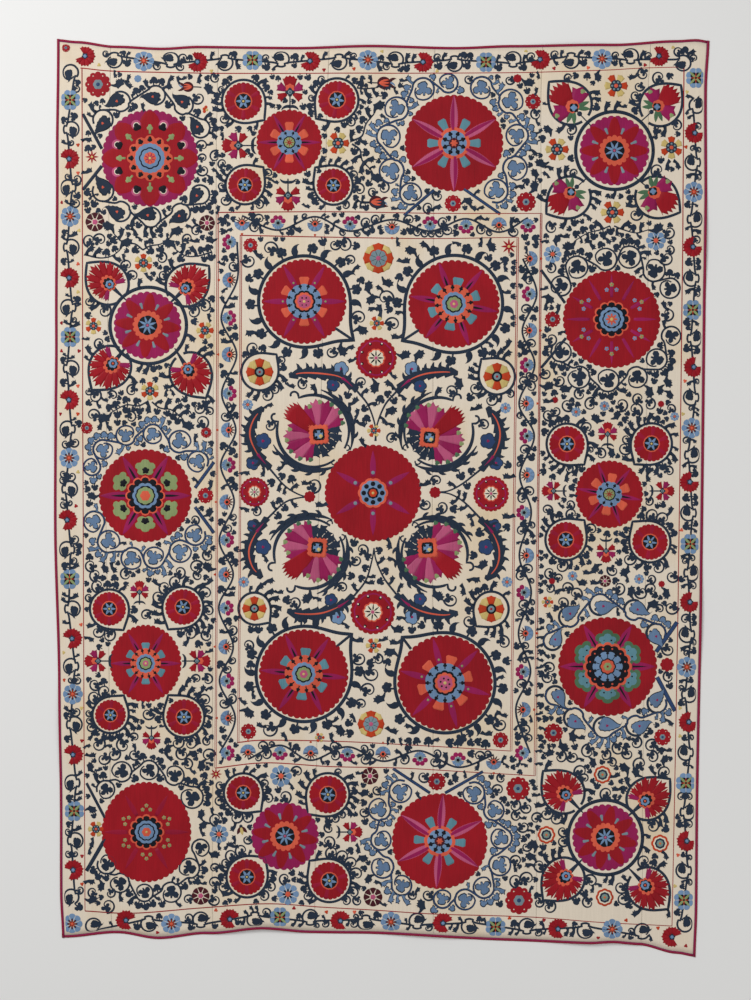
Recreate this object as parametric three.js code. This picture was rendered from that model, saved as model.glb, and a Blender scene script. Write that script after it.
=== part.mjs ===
import * as THREE from 'three';

// A large embroidered hanging, lying face up. Millimetres, +Z up, +Y towards its top edge.
// Seven narrow woven strips run top to bottom, sewn edge to edge, with a braid binding round them.
// The origin is on the surface it lies on, under the middle of its outline.

// Driving dimensions
const CORNERS = {
  topLeft: { x: -910, y: 1285 },
  topRight: { x: 917, y: 1280 },
  bottomLeft: { x: -896, y: -1231 },
  bottomRight: { x: 878, y: -1285 },
};
const CLOTH_THICKNESS = 2;
const BRAID_THICKNESS = 3;
const BRAID_WIDTH = 7.5;
const SEAM_GAP = 0.3;

// The strips from left to right, as wide as they are at each end. The edge strips are half widths.
const STRIPS = [
  { name: 'strip_1', topWidth: 151, bottomWidth: 140, columns: 3 },
  { name: 'strip_2', topWidth: 302, bottomWidth: 283, columns: 5 },
  { name: 'strip_3', topWidth: 310, bottomWidth: 285, columns: 5 },
  { name: 'strip_4', topWidth: 296, bottomWidth: 332, columns: 5 },
  { name: 'strip_5', topWidth: 302, bottomWidth: 287, columns: 5 },
  { name: 'strip_6', topWidth: 302, bottomWidth: 294, columns: 5 },
  { name: 'strip_7', topWidth: 164, bottomWidth: 153, columns: 3 },
];
const ROWS = 32;

// How far each edge stands out from the straight line between its corners.
// along is the share of the edge, left to right or top to bottom.
const TOP_EDGE = [
  { along: 0, out: 0 },
  { along: 0.03, out: -5 },
  { along: 0.09, out: -18 },
  { along: 0.16, out: -24 },
  { along: 0.22, out: -18 },
  { along: 0.37, out: -20 },
  { along: 0.49, out: -14 },
  { along: 0.61, out: -19 },
  { along: 0.7, out: -13 },
  { along: 0.85, out: -9 },
  { along: 0.95, out: 2 },
  { along: 0.98, out: 5 },
  { along: 1, out: 0 },
];
const BOTTOM_EDGE = [
  { along: 0, out: 0 },
  { along: 0.09, out: -17 },
  { along: 0.15, out: -4 },
  { along: 0.23, out: -22 },
  { along: 0.32, out: -41 },
  { along: 0.39, out: -34 },
  { along: 0.5, out: -37 },
  { along: 0.7, out: -29 },
  { along: 0.83, out: -27 },
  { along: 0.87, out: -32 },
  { along: 0.91, out: -28 },
  { along: 0.97, out: -7 },
  { along: 1, out: 0 },
];
const LEFT_EDGE = [
  { along: 0, out: 0 },
  { along: 0.14, out: 5 },
  { along: 0.32, out: 10 },
  { along: 0.54, out: 16 },
  { along: 0.72, out: 7 },
  { along: 0.85, out: 4 },
  { along: 0.95, out: 5 },
  { along: 1, out: 0 },
];
const RIGHT_EDGE = [
  { along: 0, out: 0 },
  { along: 0.05, out: -5 },
  { along: 0.18, out: 0 },
  { along: 0.62, out: 3 },
  { along: 0.82, out: 1 },
  { along: 0.95, out: 3 },
  { along: 1, out: 0 },
];

// Low ripples where the cloth doesn't lie quite down. Each is an oval mound: reach is half its
// length, along the heading, and width half its breadth.
const RIPPLES = [
  { x: -640, y: 1180, heading: 62, reach: 420, width: 170, height: 5 },
  { x: -90, y: 1230, heading: 80, reach: 330, width: 150, height: 4 },
  { x: 560, y: 1225, heading: 112, reach: 400, width: 160, height: 5 },
  { x: 880, y: 720, heading: 10, reach: 330, width: 170, height: 4 },
  { x: -890, y: 240, heading: 172, reach: 360, width: 180, height: 4 },
  { x: 870, y: -330, heading: 168, reach: 340, width: 170, height: 4 },
  { x: -870, y: -640, heading: 15, reach: 330, width: 160, height: 4 },
  { x: -350, y: -1170, heading: 97, reach: 430, width: 170, height: 7 },
  { x: 120, y: -1190, heading: 84, reach: 380, width: 160, height: 5 },
  { x: 610, y: -1190, heading: 75, reach: 430, width: 170, height: 6 },
];

const CLOTH_MATERIAL = new THREE.MeshStandardMaterial({ color: 0xddd0b4, roughness: 0.9, metalness: 0 });
const BRAID_MATERIAL = new THREE.MeshStandardMaterial({ color: 0x8f1c3c, roughness: 0.8, metalness: 0 });

// The offset of a wavy edge at a share of its length, eased from row to row of its table.
function edgeOffset(table, along) {
  const next = Math.max(1, table.findIndex((row) => row.along >= along));
  const [a, b] = [table[next - 1], table[next]];
  const share = THREE.MathUtils.smoothstep(along, a.along, b.along);
  return THREE.MathUtils.lerp(a.out, b.out, share);
}

// A point on the outline between two corners, moved out by its table.
function edgePoint(from, to, table, outward, along) {
  const out = edgeOffset(table, along);
  return {
    x: THREE.MathUtils.lerp(from.x, to.x, along) + outward.x * out,
    y: THREE.MathUtils.lerp(from.y, to.y, along) + outward.y * out,
  };
}

// A place on the whole cloth: across runs 0 to 1 from left to right, down 0 to 1 from top to bottom.
// The four edges are blended, so the seams and rows follow the outline.
function place(across, down) {
  const { topLeft, topRight, bottomLeft, bottomRight } = CORNERS;
  const top = edgePoint(topLeft, topRight, TOP_EDGE, { x: 0, y: 1 }, across);
  const bottom = edgePoint(bottomLeft, bottomRight, BOTTOM_EDGE, { x: 0, y: -1 }, across);
  const left = edgePoint(topLeft, bottomLeft, LEFT_EDGE, { x: -1, y: 0 }, down);
  const right = edgePoint(topRight, bottomRight, RIGHT_EDGE, { x: 1, y: 0 }, down);
  const blend = (key) =>
    THREE.MathUtils.lerp(top[key], bottom[key], down) +
    THREE.MathUtils.lerp(left[key], right[key], across) -
    THREE.MathUtils.lerp(
      THREE.MathUtils.lerp(topLeft[key], topRight[key], across),
      THREE.MathUtils.lerp(bottomLeft[key], bottomRight[key], across),
      down,
    );
  return { x: blend('x'), y: blend('y') };
}

// How far the cloth's underside is off the surface: the sum of the mounds, nothing outside them.
function lift(x, y) {
  return RIPPLES.reduce((sum, ripple) => {
    const heading = THREE.MathUtils.degToRad(ripple.heading);
    const [dx, dy] = [x - ripple.x, y - ripple.y];
    const lengthways = (dx * Math.cos(heading) + dy * Math.sin(heading)) / ripple.reach;
    const sideways = (dy * Math.cos(heading) - dx * Math.sin(heading)) / ripple.width;
    const inside = Math.max(0, 1 - lengthways ** 2 - sideways ** 2);
    return sum + ripple.height * inside ** 2;
  }, 0);
}

// The middle of the outline's box, which becomes the origin.
function outlineMiddle() {
  const steps = Array.from({ length: 401 }, (_, i) => i / 400);
  const points = steps.flatMap((s) => [place(s, 0), place(s, 1), place(0, s), place(1, s)]);
  const middle = (key) => {
    const values = points.map((point) => point[key]);
    return (Math.min(...values) + Math.max(...values)) / 2;
  };
  return { x: middle('x'), y: middle('y') };
}

// A sheet between rows of places: rows[j][i] gives across and down. The top face, the underside
// and the rim share their points, so it is one closed solid.
function sheetGeometry(rows, thickness) {
  const [last, lastColumn] = [rows.length - 1, rows[0].length - 1];
  const positions = [];
  const index = [];
  for (const row of rows) {
    for (const { across, down } of row) {
      const { x, y } = place(across, down);
      const z = lift(x, y);
      positions.push(x, y, z, x, y, z + thickness);
    }
  }
  const under = (j, i) => 2 * (j * (lastColumn + 1) + i);
  const over = (j, i) => under(j, i) + 1;
  const quad = (a, b, c, d) => index.push(a, b, c, a, c, d);
  for (let j = 0; j < last; j += 1) {
    for (let i = 0; i < lastColumn; i += 1) {
      quad(over(j, i), over(j + 1, i), over(j + 1, i + 1), over(j, i + 1));
      quad(under(j, i), under(j, i + 1), under(j + 1, i + 1), under(j + 1, i));
    }
    quad(under(j, 0), under(j + 1, 0), over(j + 1, 0), over(j, 0));
    quad(over(j, lastColumn), over(j + 1, lastColumn), under(j + 1, lastColumn), under(j, lastColumn));
  }
  for (let i = 0; i < lastColumn; i += 1) {
    quad(under(0, i), over(0, i), over(0, i + 1), under(0, i + 1));
    quad(over(last, i), under(last, i), under(last, i + 1), over(last, i + 1));
  }
  const geometry = new THREE.BufferGeometry();
  geometry.setAttribute('position', new THREE.Float32BufferAttribute(positions, 3));
  geometry.setIndex(index);
  geometry.computeVertexNormals();
  return geometry;
}

const width = CORNERS.topRight.x - CORNERS.topLeft.x;
const length = CORNERS.topLeft.y - CORNERS.bottomLeft.y;
const braid = { across: BRAID_WIDTH / width, down: BRAID_WIDTH / length };
const gap = { across: SEAM_GAP / width, down: SEAM_GAP / length };
const clothEdge = { across: braid.across + gap.across, down: braid.down + gap.down };

// The shares of the width at which each strip ends, at one end of the cloth.
function seamShares(key) {
  const total = STRIPS.reduce((sum, strip) => sum + strip[key], 0);
  const shares = [0];
  for (const strip of STRIPS) shares.push(shares.at(-1) + strip[key] / total);
  return shares;
}

// A strip's left and right limits at one end, inside the binding or half a gap from its seam.
function stripLimits(k, shares) {
  const from = k === 0 ? clothEdge.across : shares[k] + gap.across / 2;
  const to = k === STRIPS.length - 1 ? 1 - clothEdge.across : shares[k + 1] - gap.across / 2;
  return { from, to };
}

const topShares = seamShares('topWidth');
const bottomShares = seamShares('bottomWidth');
const rowShares = Array.from({ length: ROWS + 1 }, (_, j) =>
  THREE.MathUtils.lerp(clothEdge.down, 1 - clothEdge.down, j / ROWS),
);

// A strip's columns at a share of the cloth's length.
function stripColumns(k, down) {
  const top = stripLimits(k, topShares);
  const bottom = stripLimits(k, bottomShares);
  const from = THREE.MathUtils.lerp(top.from, bottom.from, down);
  const to = THREE.MathUtils.lerp(top.to, bottom.to, down);
  const { columns } = STRIPS[k];
  return Array.from({ length: columns + 1 }, (_, i) => THREE.MathUtils.lerp(from, to, i / columns));
}

function stripGeometry(k) {
  const rows = rowShares.map((down) => stripColumns(k, down).map((across) => ({ across, down })));
  return sheetGeometry(rows, CLOTH_THICKNESS);
}

// The top and bottom bindings take their steps from the strips they edge, so the gap stays even.
function endBinding(outer, inner, clothDown) {
  const steps = STRIPS.flatMap((_, k) => stripColumns(k, clothDown));
  const downs = [outer, inner].sort((a, b) => a - b);
  const rows = downs.map((down) => steps.map((across) => ({ across, down })));
  return sheetGeometry(rows, BRAID_THICKNESS);
}

// The side bindings run the whole length, past the ends of the other two.
function sideBinding(outer, inner) {
  const across = [outer, inner].sort((a, b) => a - b);
  const rows = [0, ...rowShares, 1].map((down) => across.map((share) => ({ across: share, down })));
  return sheetGeometry(rows, BRAID_THICKNESS);
}

const hanging = new THREE.Group();
const middle = outlineMiddle();

function addPiece(name, geometry, material) {
  const mesh = new THREE.Mesh(geometry, material);
  mesh.name = name;
  mesh.position.set(-middle.x, -middle.y, 0);
  hanging.add(mesh);
}

STRIPS.forEach((strip, k) => addPiece(strip.name, stripGeometry(k), CLOTH_MATERIAL));
addPiece('binding_top', endBinding(0, braid.down, clothEdge.down), BRAID_MATERIAL);
addPiece('binding_bottom', endBinding(1, 1 - braid.down, 1 - clothEdge.down), BRAID_MATERIAL);
addPiece('binding_left', sideBinding(0, braid.across), BRAID_MATERIAL);
addPiece('binding_right', sideBinding(1, 1 - braid.across), BRAID_MATERIAL);

export default hanging;
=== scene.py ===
import math
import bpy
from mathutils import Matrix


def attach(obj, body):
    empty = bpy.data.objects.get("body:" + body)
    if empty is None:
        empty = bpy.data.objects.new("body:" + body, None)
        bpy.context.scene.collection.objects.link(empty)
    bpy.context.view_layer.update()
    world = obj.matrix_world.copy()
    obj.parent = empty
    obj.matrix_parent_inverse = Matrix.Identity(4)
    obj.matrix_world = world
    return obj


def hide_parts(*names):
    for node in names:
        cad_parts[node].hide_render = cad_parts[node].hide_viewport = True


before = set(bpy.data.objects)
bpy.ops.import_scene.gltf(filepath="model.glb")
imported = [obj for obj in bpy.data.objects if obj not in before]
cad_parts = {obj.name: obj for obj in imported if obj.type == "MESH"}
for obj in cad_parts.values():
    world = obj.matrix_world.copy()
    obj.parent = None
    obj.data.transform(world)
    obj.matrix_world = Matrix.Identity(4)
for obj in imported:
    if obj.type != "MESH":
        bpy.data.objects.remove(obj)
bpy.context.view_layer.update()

from types import SimpleNamespace

import bpy
import numpy as np
from bpy.props import FloatProperty, FloatVectorProperty, PointerProperty

bl_info = {
    "name": "Embroidered Suzani",
    "version": (1, 0, 0),
    "blender": (4, 5, 0),
    "location": "View3D > Sidebar > Suzani",
    "description": "Makes a large silk embroidered hanging on sewn cotton strips, lying flat",
    "category": "Object",
}

# The layout is in pixels of the 751 x 1000 view, x to the right and y down.
VIEW_SIZE = (751, 1000)
VIEW_PIXEL = 0.0028
VIEW_ORIGIN = (381.72, 497.98)
# No silk lies nearer to the cloth's outline than these shares of its width and length
EDGE_SHARES = (0.0055, 0.0040)
EDGE_EASE = 2.4
CAMERA_HEIGHT = 7.0
SENSOR_MM = 36.0

# The cloth and its edges, in millimetres, as the solids have them
CORNERS = {"top_left": (-910, 1285), "top_right": (917, 1280),
           "bottom_left": (-896, -1231), "bottom_right": (878, -1285)}
MIDDLE_SHIFT = (0.79, -0.05)
BRAID_WIDTH = 7.5
SEAM_GAP = 0.3
STRIP_TOPS = (151, 302, 310, 296, 302, 302, 164)
STRIP_BOTTOMS = (140, 283, 285, 332, 287, 294, 153)
CLOTH_TOP = 1.4
CLOTH_UNDER = 0.25
BRAID_TOP = 3.0
STEP = 18.0


def table(text):
    """Reads a table: the first line names the columns, and each other line is a row."""
    lines = [line.split() for line in text.strip().splitlines()]

    def value(word):
        try:
            return float(word)
        except ValueError:
            return word

    return [SimpleNamespace(**dict(zip(lines[0], map(value, line)))) for line in lines[1:]]


# How far each edge stands out from the line between its corners; along is the share of the edge
EDGES = {
    "top": ((0, .03, .09, .16, .22, .37, .49, .61, .70, .85, .95, .98, 1),
            (0, -5, -18, -24, -18, -20, -14, -19, -13, -9, 2, 5, 0)),
    "bottom": ((0, .09, .15, .23, .32, .39, .50, .70, .83, .87, .91, .97, 1),
               (0, -17, -4, -22, -41, -34, -37, -29, -27, -32, -28, -7, 0)),
    "left": ((0, .14, .32, .54, .72, .85, .95, 1), (0, 5, 10, 16, 7, 4, 5, 0)),
    "right": ((0, .05, .18, .62, .82, .95, 1), (0, -5, 0, 3, 1, 3, 0)),
}

# Low mounds where the cloth doesn't lie quite down, in millimetres and degrees
RIPPLES = table("""
x     y      heading  reach  width  height
-640  1180   62       420    170    5
-90   1230   80       330    150    4
560   1225   112      400    160    5
880   720    10       330    170    4
-890  240    172      360    180    4
870   -330   168      340    170    4
-870  -640   15       330    160    4
-350  -1170  97       430    170    7
120   -1190  84       380    160    5
610   -1190  75       430    170    6
""")

# Soft unevenness of the stitched cloth: waves by length and height in millimetres, heading in degrees
PUCKERS = table("""
length  heading  height  phase
310     8        0.22    0.4
190     97       0.18    2.1
128     38       0.10    4.0
97      152      0.08    1.3
74      71       0.05    5.2
""")


def eased(x, stations, values):
    """The values between stations, joined by the smooth step 3s2 - 2s3 of the share s between two."""
    stations, values = np.asarray(stations, float), np.asarray(values, float)
    k = np.clip(np.searchsorted(stations, x, side="right") - 1, 0, len(stations) - 2)
    s = np.clip((x - stations[k]) / (stations[k + 1] - stations[k]), 0, 1)
    return values[k] + (values[k + 1] - values[k]) * s * s * (3 - 2 * s)


def place(across, down):
    """A place on the whole cloth in millimetres. Opposite edges are blended by the shares across and
    down, and the blend of the four corners is taken off once."""
    corner = {name: np.array(xy, float) for name, xy in CORNERS.items()}
    across, down = np.broadcast_arrays(np.asarray(across, float), np.asarray(down, float))
    a, d = across[..., None], down[..., None]

    def edge(start, end, name, share, outward):
        out = eased(share[..., 0], *EDGES[name])[..., None] * np.array(outward, float)
        return corner[start] * (1 - share) + corner[end] * share + out

    top = edge("top_left", "top_right", "top", a, (0, 1))
    bottom = edge("bottom_left", "bottom_right", "bottom", a, (0, -1))
    left = edge("top_left", "bottom_left", "left", d, (-1, 0))
    right = edge("top_right", "bottom_right", "right", d, (1, 0))
    flat = (corner["top_left"] * (1 - a) + corner["top_right"] * a) * (1 - d)
    flat = flat + (corner["bottom_left"] * (1 - a) + corner["bottom_right"] * a) * d
    xy = top * (1 - d) + bottom * d + left * (1 - a) + right * a - flat
    return xy[..., 0] + MIDDLE_SHIFT[0], xy[..., 1] + MIDDLE_SHIFT[1]


def lift(x, y):
    """How far the underside is off the floor, in millimetres: the sum of oval mounds (1 - r2)2."""
    total = np.zeros(np.broadcast(x, y).shape)
    for row in RIPPLES:
        heading = math.radians(row.heading)
        dx, dy = x - row.x - MIDDLE_SHIFT[0], y - row.y - MIDDLE_SHIFT[1]
        along = (dx * math.cos(heading) + dy * math.sin(heading)) / row.reach
        side = (dy * math.cos(heading) - dx * math.sin(heading)) / row.width
        total += row.height * np.clip(1 - along**2 - side**2, 0, 1) ** 2
    return total


def cloth_top(x, y):
    """The height of the cloth's face in millimetres: its lift and thickness and a sum of low waves."""
    total = lift(x, y) + CLOTH_TOP
    size = bpy.context.scene.suzani_cloth.pucker
    for row in PUCKERS:
        heading = math.radians(row.heading)
        along = x * math.cos(heading) + y * math.sin(heading)
        total += size * row.height * np.sin(2 * math.pi * along / row.length + row.phase)
    return total


def to_millimetres(x, y):
    """A view pixel's place on the cloth in millimetres."""
    scale = VIEW_PIXEL * 1000
    return (np.asarray(x) - VIEW_ORIGIN[0]) * scale, (VIEW_ORIGIN[1] - np.asarray(y)) * scale


def to_view(x, y):
    """The view pixel of a place on the cloth."""
    scale = VIEW_PIXEL * 1000
    return np.asarray(x) / scale + VIEW_ORIGIN[0], VIEW_ORIGIN[1] - np.asarray(y) / scale


# Threads by name, in the order of the material slots. The colours are sRGB.
THREADS = {
    "red": (0.575, 0.060, 0.110),
    "crimson": (0.570, 0.070, 0.190),
    "magenta": (0.555, 0.090, 0.310),
    "pink": (0.700, 0.320, 0.460),
    "coral": (0.810, 0.350, 0.255),
    "rust": (0.710, 0.230, 0.100),
    "ochre": (0.780, 0.690, 0.430),
    "sage": (0.520, 0.580, 0.390),
    "green": (0.280, 0.410, 0.300),
    "teal": (0.350, 0.520, 0.570),
    "sky": (0.425, 0.535, 0.665),
    "mist": (0.375, 0.470, 0.590),
    "slate": (0.450, 0.530, 0.560),
    "blue": (0.165, 0.255, 0.410),
    "navy": (0.130, 0.178, 0.245),
    "ink": (0.055, 0.060, 0.095),
    "maroon": (0.265, 0.075, 0.115),
    "white": (0.860, 0.820, 0.735),
}
THREAD_NAMES = list(THREADS)

SKIRT = -0.25


class Ground:
    """Which places of the cloth carry silk, on a net of half view pixels. All that lies beyond the
    cloth's edges counts as taken."""

    def __init__(self):
        self.full = np.zeros((VIEW_SIZE[1] * 2, VIEW_SIZE[0] * 2), bool)
        gy, gx = (np.arange(n) / 2 for n in self.full.shape)
        run = np.linspace(0, 1, 80)
        across, down = EDGE_SHARES
        left, right = (to_view(*place(share, run)) for share in (across, 1 - across))
        top, bottom = (to_view(*place(run, share)) for share in (down, 1 - down))
        self.edges = left, right, top, bottom
        self.full |= gx[None, :] < np.interp(gy, left[1], left[0])[:, None]
        self.full |= gx[None, :] > np.interp(gy, right[1], right[0])[:, None]
        self.full |= gy[:, None] < np.interp(gx, top[0], top[1])[None, :]
        self.full |= gy[:, None] > np.interp(gx, bottom[0], bottom[1])[None, :]

    def hold(self, x, y):
        """Draws places near the cloth's edge inward, so that none lies past it: the distance d from the
        edge becomes (d + sqrt(d2 + e2)) / 2."""
        left, right, top, bottom = self.edges

        def inward(d):
            return (d + np.sqrt(d * d + EDGE_EASE**2)) / 2

        low, high = np.interp(y, left[1], left[0]), np.interp(y, right[1], right[0])
        x = low + inward(x - low)
        x = high - inward(high - x)
        low, high = np.interp(x, *top), np.interp(x, *bottom)
        y = low + inward(y - low)
        return x, high - inward(high - y)

    def window(self, x, y, r):
        """The part of the net near a circle, and which of its places lie in the circle."""
        low_x, low_y = max(0, int((x - r) * 2)), max(0, int((y - r) * 2))
        part = self.full[low_y:int((y + r) * 2) + 2, low_x:int((x + r) * 2) + 2]
        gx = (np.arange(part.shape[1]) + low_x) / 2 - x
        gy = (np.arange(part.shape[0]) + low_y) / 2 - y
        return part, gx[None, :] ** 2 + gy[:, None] ** 2 <= r * r

    def mark(self, x, y, r):
        """Takes a circle of the cloth."""
        part, inside = self.window(x, y, r)
        part |= inside

    def free(self, x, y, r):
        """Whether a circle of the cloth is still bare."""
        part, inside = self.window(x, y, r)
        return part.size > 0 and not (part & inside).any()


GROUND = Ground()


class Needlework:
    """Raised silk shapes of one piece, gathered as grids of points. Places are in view pixels and
    heights in millimetres above the cloth's face."""

    def __init__(self, seed):
        self.random = np.random.default_rng(seed)
        self.x, self.y, self.h, self.tone, self.inside = [], [], [], [], []
        self.quads, self.tris, self.quad_threads, self.tri_threads = [], [], [], []
        self.count = 0

    def grid(self, x, y, height, thread, wrap=False, pole=None):
        """Joins rows of points with faces. With wrap the last column meets the first, and a pole is
        one more point that the first row closes on."""
        rows, columns = x.shape
        index = self.count + np.arange(rows * columns).reshape(rows, columns)
        near, far = (index, np.roll(index, -1, axis=1)) if wrap else (index[:, :-1], index[:, 1:])
        quads = np.stack([near[:-1], far[:-1], far[1:], near[1:]], axis=-1).reshape(-1, 4)
        px, py = x.ravel(), y.ravel()
        corner = quads - self.count
        ahead = np.roll(corner, -1, axis=1)
        turned = float(np.sum(px[corner] * py[ahead] - px[ahead] * py[corner])) > 0
        if turned:
            quads = quads[:, ::-1]
        self.quads.append(quads)
        self.quad_threads.append(np.full(len(quads), THREAD_NAMES.index(thread)))
        points = [px, py, np.broadcast_to(height, x.shape).ravel()]
        if pole is not None:
            centre = self.count + rows * columns
            fan = np.stack([np.full(columns, centre), far[0], near[0]], axis=-1)
            self.tris.append(fan[:, ::-1] if turned else fan)
            self.tri_threads.append(np.full(columns, THREAD_NAMES.index(thread)))
            points = [np.append(p, c) for p, c in zip(points, pole)]
        for kept, p in zip((self.x, self.y, self.h), points):
            kept.append(p)
        self.tone.append(np.full(len(points[0]), self.random.uniform(-1, 1)))
        self.inside.append((points[2] > 0.9 * points[2].max()).astype(float))
        self.count += len(points[0])

    def patch(self, x, y, thread, height=0.5):
        """A raised patch on rows of points, whose edge is carried straight down into the cloth."""
        level = np.full(x.shape, height)
        level[[0, -1]] = level[:, [0, -1]] = height * 0.8
        level = np.pad(level, 1, constant_values=SKIRT)
        self.grid(np.pad(x, 1, mode="edge"), np.pad(y, 1, mode="edge"), level, thread)

    def disc(self, x, y, radius, thread, height=0.5, lobes=0, depth=0.0, power=0.6, turn=0.0,
             squash=1.0, tilt=0.0):
        """A raised round with a lobed edge: its radius is R(1 - depth + depth |cos(n t / 2)|^power).
        Squash shortens it along the tilted y axis."""
        lobes = int(lobes)
        small = radius < 4.2
        steps = 10 if small else int(min(56, 12 + radius * 1.6))
        if lobes:
            steps = lobes * max(2, 2 * round(max(steps, lobes * (4 if lobes > 20 else 5)) / (2 * lobes)))
        t = np.arange(steps) * 2 * math.pi / steps
        edge = 1 - depth + depth * np.abs(np.cos(lobes * t / 2)) ** power if lobes else np.ones(steps)
        if small:
            fractions, heights = np.array([0.84, 1.0]), np.array([height * 0.94, SKIRT])
        else:
            inner = max(1, int(round(radius / 6)))
            rim = 0.4 / radius
            fractions = np.array([*np.linspace(0, 1 - rim, inner + 1)[1:], 1, 1])
            heights = np.array([*np.full(inner, height), height * 0.7, SKIRT])
        r = radius * fractions[:, None] * edge[None, :]
        a = t[None, :] + math.radians(turn - tilt)
        dx, dy = r * np.cos(a), r * np.sin(a) * squash
        c, s = math.cos(math.radians(tilt)), math.sin(math.radians(tilt))
        gx, gy = x + dx * c - dy * s, y + dx * s + dy * c
        gh = np.broadcast_to(heights[:, None], gx.shape)
        self.grid(gx, gy, gh, thread, wrap=True, pole=(x, y, height))
        GROUND.mark(x, y, radius * max(1.0, squash))

    def blade(self, path, half, thread, height=0.5):
        """A raised strip along a path, half as wide at each point as half says. half is one number, an
        array, or a pair for the left and right sides."""
        px, py = np.asarray(path[0], float), np.asarray(path[1], float)
        left, right = half if isinstance(half, tuple) else (half, half)
        left = np.maximum(np.broadcast_to(left, px.shape), 0.06)
        right = np.maximum(np.broadcast_to(right, px.shape), 0.06)
        tx, ty = np.gradient(px), np.gradient(py)
        size = np.hypot(tx, ty) + 1e-9
        nx, ny = ty / size, -tx / size
        sides = np.array([-1, -0.76, 0, 0.76, 1])
        heights = np.array([SKIRT, height * 0.92, height, height * 0.92, SKIRT])
        reach = np.where(sides[None, :] < 0, left[:, None], right[:, None]) * sides[None, :]
        gx, gy = px[:, None] + nx[:, None] * reach, py[:, None] + ny[:, None] * reach
        gh = np.broadcast_to(heights[None, :], gx.shape)
        gx, gy = (np.pad(a, ((1, 1), (0, 0)), mode="edge") for a in (gx, gy))
        gh = np.pad(gh, ((1, 1), (0, 0)), constant_values=SKIRT)
        self.grid(gx, gy, gh, thread)
        widest = np.maximum(np.maximum(left, right), 0.6)
        gap = 0.0
        for k in range(len(px)):
            gap -= math.hypot(px[k] - px[k - 1], py[k] - py[k - 1]) if k else 0
            if gap <= 0:
                GROUND.mark(px[k], py[k], widest[k])
                gap = widest[k] * 0.6

    def ruled(self, one, other, thread, height=0.5):
        """A raised leaf between two edge curves of as many points: straight threads lie from one to
        the other."""
        share = np.array([0, 0.1, 0.5, 0.9, 1])[None, :]
        gx = one[0][:, None] * (1 - share) + other[0][:, None] * share
        gy = one[1][:, None] * (1 - share) + other[1][:, None] * share
        self.patch(gx, gy, thread, height)
        reach = np.hypot(one[0] - other[0], one[1] - other[1]) / 2
        for k in range(len(reach)):
            GROUND.mark(gx[k, 2], gy[k, 2], max(0.6, reach[k]))

    def make(self, name, slot="embroidery_silk"):
        """Lays the gathered shapes on the cloth and makes the piece's mesh."""
        x, y = to_millimetres(*GROUND.hold(np.concatenate(self.x), np.concatenate(self.y)))
        z = cloth_top(x, y) + np.concatenate(self.h)
        points = np.stack([x, y, z], axis=1) / 1000
        faces = np.concatenate(self.quads).tolist()
        threads = list(self.quad_threads)
        if self.tris:
            faces += np.concatenate(self.tris).tolist()
            threads += self.tri_threads
        mesh = bpy.data.meshes.new(name)
        mesh.from_pydata(points, [], faces)
        mesh.polygons.foreach_set("material_index", np.concatenate(threads).astype(np.int32))
        mesh.polygons.foreach_set("use_smooth", np.ones(len(faces), bool))
        for title, values in (("tone", self.tone), ("inside", self.inside)):
            layer = mesh.attributes.new(title, "FLOAT", "POINT")
            layer.data.foreach_set("value", np.concatenate(values).astype(np.float32))
        for thread in THREAD_NAMES:
            mesh.materials.append(silk_material(thread))
        return add_piece(mesh)


def add_piece(mesh, replaces=()):
    """Links a finished mesh as a piece that rides on the cloth's body."""
    piece = bpy.data.objects.new(mesh.name, mesh)
    bpy.context.scene.collection.objects.link(piece)
    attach(piece, "root")
    if replaces:
        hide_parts(*replaces)
    return piece


# Paths, in view pixels and degrees; angles turn clockwise from the right, as y runs down


def arc(x, y, radius, start, end, steps=None):
    """A path round a centre."""
    steps = steps or max(4, int(abs(end - start) * radius / 150) + 3)
    a = np.radians(np.linspace(start, end, steps))
    return x + radius * np.cos(a), y + radius * np.sin(a)


def spiral(x, y, radius, inner, start, sweep):
    """A path that winds in evenly from one radius to another."""
    a = np.radians(np.linspace(start, start + sweep, int(abs(sweep) / 15) + 4))
    r = np.linspace(radius, inner, len(a))
    return x + r * np.cos(a), y + r * np.sin(a)


def stroke(x, y, heading, length, curl=0.0, steps=9):
    """A path whose heading turns evenly by curl degrees over its length."""
    t = np.linspace(0, 1, steps)
    a = np.radians(heading + curl * (t - 0.15))
    dx, dy = np.cos(a) * length / (steps - 1), np.sin(a) * length / (steps - 1)
    px = x + np.concatenate([[0], np.cumsum((dx[1:] + dx[:-1]) / 2)])
    py = y + np.concatenate([[0], np.cumsum((dy[1:] + dy[:-1]) / 2)])
    return px, py


def link(x0, y0, heading0, x1, y1, heading1, ease=0.38):
    """A path between two places that leaves and arrives by given headings: a cubic with its handles
    a share of the distance long."""
    reach = math.hypot(x1 - x0, y1 - y0) * ease
    a0, a1 = math.radians(heading0), math.radians(heading1)
    p = np.array([[x0, y0], [x0 + reach * math.cos(a0), y0 + reach * math.sin(a0)],
                  [x1 - reach * math.cos(a1), y1 - reach * math.sin(a1)], [x1, y1]])
    t = np.linspace(0, 1, max(5, int(reach / 1.2)))[:, None]
    xy = p[0] * (1 - t)**3 + 3 * p[1] * t * (1 - t)**2 + 3 * p[2] * t * t * (1 - t) + p[3] * t**3
    return xy[:, 0], xy[:, 1]


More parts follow.
